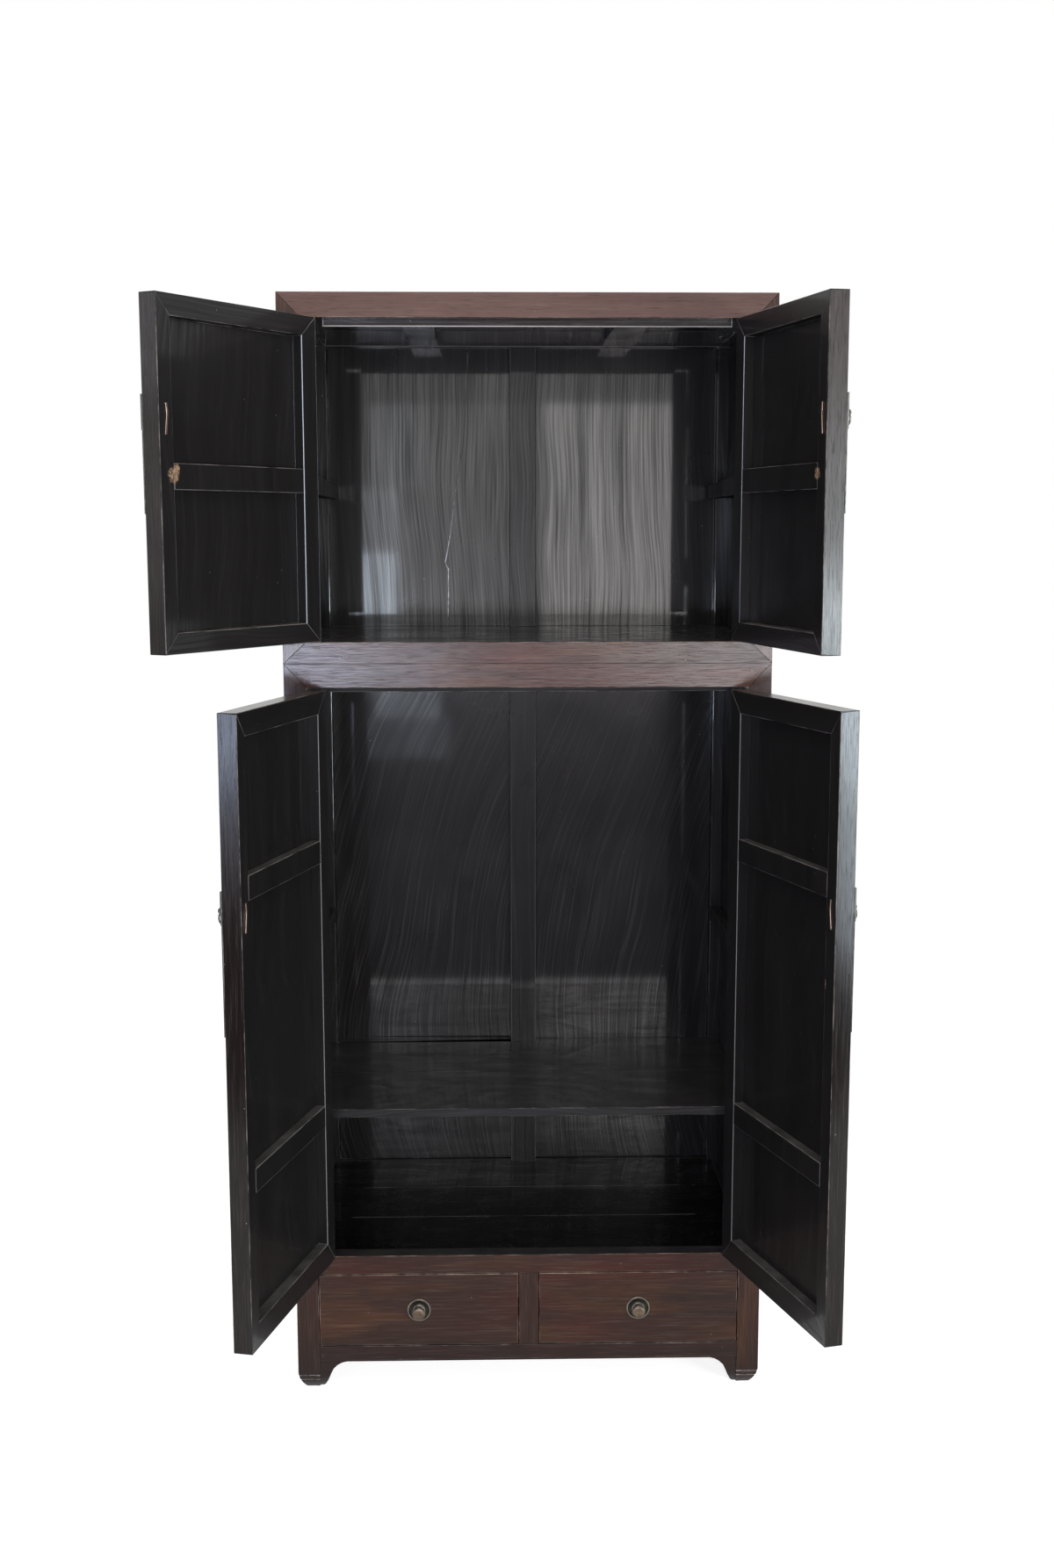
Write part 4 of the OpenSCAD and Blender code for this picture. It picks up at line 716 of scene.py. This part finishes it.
# Joint in the chest's left back panel: its boards have parted a little, and a narrow ridge stands proud along
# the break and ends in a chip at the top. Its pale colour is a painted highlight along the break. Each point
# gives its place across and up on the panel's inner face, and its width.
PANEL_FACE = 0.264
PROUD = 0.0008
SUNK = 0.0004
BREAK = ((-0.1203, 2.1433, 0.0120), (-0.1206, 2.1376, 0.0030), (-0.1233, 2.0696, 0.0013),
         (-0.1267, 2.0127, 0.0012), (-0.1308, 1.9459, 0.0014), (-0.1413, 1.8922, 0.0016),
         (-0.1484, 1.8461, 0.0015), (-0.1546, 1.8017, 0.0020), (-0.1587, 1.7707, 0.0018),
         (-0.1628, 1.7397, 0.0026), (-0.1680, 1.7105, 0.0026), (-0.1731, 1.6852, 0.0034),
         (-0.1706, 1.6774, 0.0030), (-0.1663, 1.6696, 0.0036), (-0.1671, 1.6383, 0.0028),
         (-0.1666, 1.6069, 0.0032), (-0.1678, 1.5755, 0.0024), (-0.1676, 1.5489, 0.0016))
bm = bmesh.new()
rows = []
for x, z, width in BREAK:
    profile = ((-width / 2, SUNK), (-width / 4, -0.8 * PROUD), (0, -PROUD), (width / 4, -0.8 * PROUD),
               (width / 2, SUNK))
    rows.append([bm.verts.new((x + across, PANEL_FACE + out, z)) for across, out in profile])
for upper, lower in zip(rows, rows[1:]):
    for number in range(4):
        bm.faces.new((upper[number], upper[number + 1], lower[number + 1], lower[number]))
    bm.faces.new((upper[4], upper[0], lower[0], lower[4]))
bm.faces.new(rows[0])
bm.faces.new(rows[-1])
bmesh.ops.recalc_face_normals(bm, faces=bm.faces)
for face in bm.faces:
    face.smooth = True
mesh = bpy.data.meshes.new("chest_panel_crack_ridge")
bm.to_mesh(mesh)
bm.free()
crack_ridge = bpy.data.objects.new("chest_panel_crack_ridge", mesh)
scene.collection.objects.link(crack_ridge)
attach(crack_ridge, "upper_chest")

# Painted highlight on the crack: pale bluish white, turning dark grey from about 1.72 m to 1.92 m up.
crack_highlight, tree = empty_material("painted highlight on the crack")
place = own_place(tree)
tone = blend(tree, spread(tree, noise(tree, place, 60, 3.0, 0.6), 0.35, 0.6), "77777a", "d2d6de")
tone = blend(tree, spread(tree, part_of(tree, place, "Z"), 1.72, 1.92), tone, "3f3d3d")
rough = spread(tree, noise(tree, place, 400, 2.0, 0.5), 0.3, 0.7, 0.25, 0.5)
put_out(tree, add(tree, "BsdfPrincipled", {"Base Color": tone, "Roughness": rough}))
crack_ridge.data.materials.append(crack_highlight)

# Doors: each has two stiles and two rails round a floating panel, reddish brown outside and gloss black
# inside, with tapered battens let into the panel's back to hold it flat. The lengths are taken from the
# hinge line, along the leaf and in towards its inner face.
DOORS = ("upper_left", "upper_right", "lower_left", "lower_right")
HINGE_X = 0.431
HINGE_Y = -0.290
LEAF_START = 0.002
LEAF_END = 0.4299
LEAF_RIM = 0.003
REBATE = 0.022
INNER_FACE = 0.0405
HINGE_STILE = 0.06
# Patches rubbed bare by fingers: the door, then along the leaf, up from the floor, and the patch's radius
RUBBED = (("upper_left", 0.396, 1.850, 0.017), ("upper_left", 0.388, 1.862, 0.010),
          ("upper_right", 0.394, 1.851, 0.014), ("lower_right", 0.391, 0.963, 0.012))


def leaf_of(door):
    """The hinge line's foot, the direction along the leaf and the one towards its inner face, for a door
    that stands open as the cabinet is shown."""
    ring = next(j for j in frame["joints"] if j["name"] == door + "_ring_swing")
    run = Vector(ring["axis"]) * (1 if ring["axis"][1] < 0 else -1)
    inner = Vector((-run.y, run.x, 0)) if "left" in door else Vector((run.y, -run.x, 0))
    foot = Vector((-HINGE_X if "left" in door else HINGE_X, HINGE_Y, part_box(door + "_door_stiles")[0].z))
    return foot, run, inner


def leaf_side(door):
    """A chooser of 0 for a leaf's outer face, 1 for what shows from inside, 2 for its edges, and 3 for what
    shows from inside on the stile at the hinges."""
    foot, run, inner = leaf_of(door)
    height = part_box(door + "_door_stiles")[1].z - foot.z

    def choose(centre, normal):
        along, deep, up = (centre - foot).dot(run), (centre - foot).dot(inner), centre.z - foot.z
        rim = (along < LEAF_START + LEAF_RIM or along > LEAF_END - LEAF_RIM
               or up < LEAF_RIM or up > height - LEAF_RIM)
        if normal.dot(inner) > 0.5 or (deep > REBATE and not rim):
            return 3 if along < HINGE_STILE and abs(normal.z) < 0.1 else 1
        return 0 if normal.dot(inner) < -0.5 else 2

    return choose


def door_inside(along, turn=0.0, spots=(), wear=0.5, rubbed="7d7671"):
    """The doors' backs: the same black lacquer, greyer with rubbing and dust. Where rubbed is given a bright
    colour, it paints highlights on the arrises.
    """
    return inside_lacquer(along, turn, colour="1d1b1b", deep="181616", rubbed=rubbed, dusty=0.35, specks=0.06,
                          wear=wear, hairy=0.12, gloss=0.42, dull=0.04, spots=spots,
                          name="door inside lacquer")


def door_edge(along, turn=0.0):
    """The leaves' edges, lacquered nearly black."""
    return front_lacquer(along, turn, colour="120e0d", pale="1a1311", rubbed="8f8278", wear=0.4,
                         name="door edge lacquer", patches=False)


for door in DOORS:
    foot, run, inner = leaf_of(door)
    turn = -Vector((1, 0, 0)).rotation_difference(run).to_euler().z
    spots = tuple((tuple(foot + run * along + inner * INNER_FACE + Vector((0, 0, up - foot.z))), radius)
                  for where, along, up, radius in RUBBED if where == door)
    # The arrises inside the stile at the hinges are painted highlights where they catch the window light:
    # bluish white on the upper doors, grey on the lower ones.
    arris_highlight = "c4c9d2" if door.startswith("upper") else "8c8b8b"
    upright = [front_lacquer("z"), door_inside("z", spots=spots), door_edge("z"),
               door_inside("z", wear=1.0, rubbed=arris_highlight)]
    level_inside = door_inside("x", turn, spots=spots)
    level = [front_lacquer("x", turn), level_inside, door_edge("x", turn), level_inside]
    dressed(door + "_door_stiles", upright, leaf_side(door))
    dressed(door + "_door_rails", level, leaf_side(door))
    dressed(door + "_door_panel", upright, leaf_side(door))


# Hinges: flat iron plates with rolled knuckles, blackened and nailed on. One half and the pin belong to the
# post, and the other half to the leaf.
@cache
def dark_iron():
    material, tree = empty_material("dark iron")
    place = own_place(tree)
    scale = noise(tree, place, 160, 4.0, 0.6)
    rust = spread(tree, noise(tree, place, 60, 3.0, 0.6), 0.52, 0.7)
    tone = blend(tree, rust, "2b2725", "4a3226")
    surface(tree, tone, spread(tree, scale, 0.3, 0.7, 0.38, 0.6), scale, 0.5, 0.0002, {"Metallic": 0.8})
    return material


for name in nodes:
    if name.endswith("hinge_plates") or name.endswith("hinge_leaves"):
        dressed(name, [dark_iron()], arris=0.0004, shortest=0.004)

# Pulls: a long plate of white brass on each leaf's meeting stile, with a split pin through it that a ring
# hangs in. The metal has gone grey outside, and the pin's legs, bent over inside, are a bare pinkish tan.
PIN_LEGS = 0.0385
SMALL_ARRIS = 0.0003
SMALL_EDGE = 0.003


@cache
def old_brass(colour="5c5e59", bright="a5a69f", dark="484641", axis=None, rims=()):
    """White brass, mottled with age. Turned work round an axis along Y has a painted highlight between the
    radii of its rims."""
    material, tree = empty_material("old white brass")
    place = own_place(tree)
    mottle = noise(tree, place, 90, 4.0, 0.65)
    worn = use(tree, worn_arris, {"Place": place, "Wear": 0.6})["Worn"]
    tone = blend(tree, spread(tree, mottle, 0.35, 0.65), colour, dark)
    tone = blend(tree, worn, tone, bright)
    if axis:
        parts = add(tree, "SeparateXYZ", {0: place}).outputs
        flat = add(tree, "CombineXYZ", {0: parts["X"], 2: parts["Z"]}).outputs[0]
        away = how_far(tree, flat, (axis[0], 0, axis[1]))
        # A painted highlight on each rim of the turned work.
        for inner_edge, outer_edge in rims:
            rim_highlight = times(tree, spread(tree, away, inner_edge - 0.0004, inner_edge + 0.0002),
                         spread(tree, away, outer_edge + 0.0004, outer_edge - 0.0002))
            rubbed = times(tree, rim_highlight, spread(tree, mottle, 0.3, 0.6, 0.95, 0.55))
            tone = blend(tree, rubbed, tone, bright)
    surface(tree, tone, spread(tree, mottle, 0.3, 0.7, 0.3, 0.5), mottle, 0.3, 0.00015, {"Metallic": 0.85})
    return material


def leg_or_plate(door):
    """A chooser of 1 for the split pin's legs, which lie on the leaf's inner face, and 0 for the rest."""
    foot, run, inner = leaf_of(door)
    return lambda centre, normal: 1 if (centre - foot).dot(inner) > PIN_LEGS else 0


for door in DOORS:
    metals = [old_brass(), old_brass("a08678", "dcc4b2", "6d5446")]
    dressed(door + "_lock_plate", metals, leg_or_plate(door), arris=SMALL_ARRIS, shortest=SMALL_EDGE)
    dressed(door + "_ring_pull", [old_brass("85867f", "c4c4bb", "5a5852")], arris=SMALL_ARRIS,
            shortest=SMALL_EDGE)

# Drawers: dovetailed boxes of bare wood behind a lacquered front, each with one turned metal knob on a
# rose. The knob's face is rubbed to a warm brown, and the rims of the rose and its collar carry painted
# highlights.
KNOB_X = 0.225
KNOB_Z = 0.17275
KNOB_FACE = -0.3
KNOB_RIMS = ((0.0218, 0.0245), (0.0114, 0.0138))


def face_or_back(centre, normal):
    """0 for a drawer front's lacquered face and edges, 1 for its bare back."""
    return 0 if normal.y < 0.5 else 1


def turned_or_face(centre, normal):
    """0 for the turned work of a knob, 1 for the flat face at its end."""
    return 1 if normal.y < -0.9 and centre.y < KNOB_FACE else 0


for side, knob_x in (("left", -KNOB_X), ("right", KNOB_X)):
    dressed(side + "_drawer_front", [front_lacquer("x"), bare_wood("x")], face_or_back)
    left_bare(side + "_drawer_box", "y")
    turned = old_brass("3a352f", "8f877c", "26211c", (knob_x, KNOB_Z), KNOB_RIMS)
    knob_face = old_brass("6b5a4b", "9c8b7a", "4a3c31")
    dressed(side + "_drawer_knob", [turned, knob_face], turned_or_face, arris=SMALL_ARRIS,
            shortest=SMALL_EDGE)
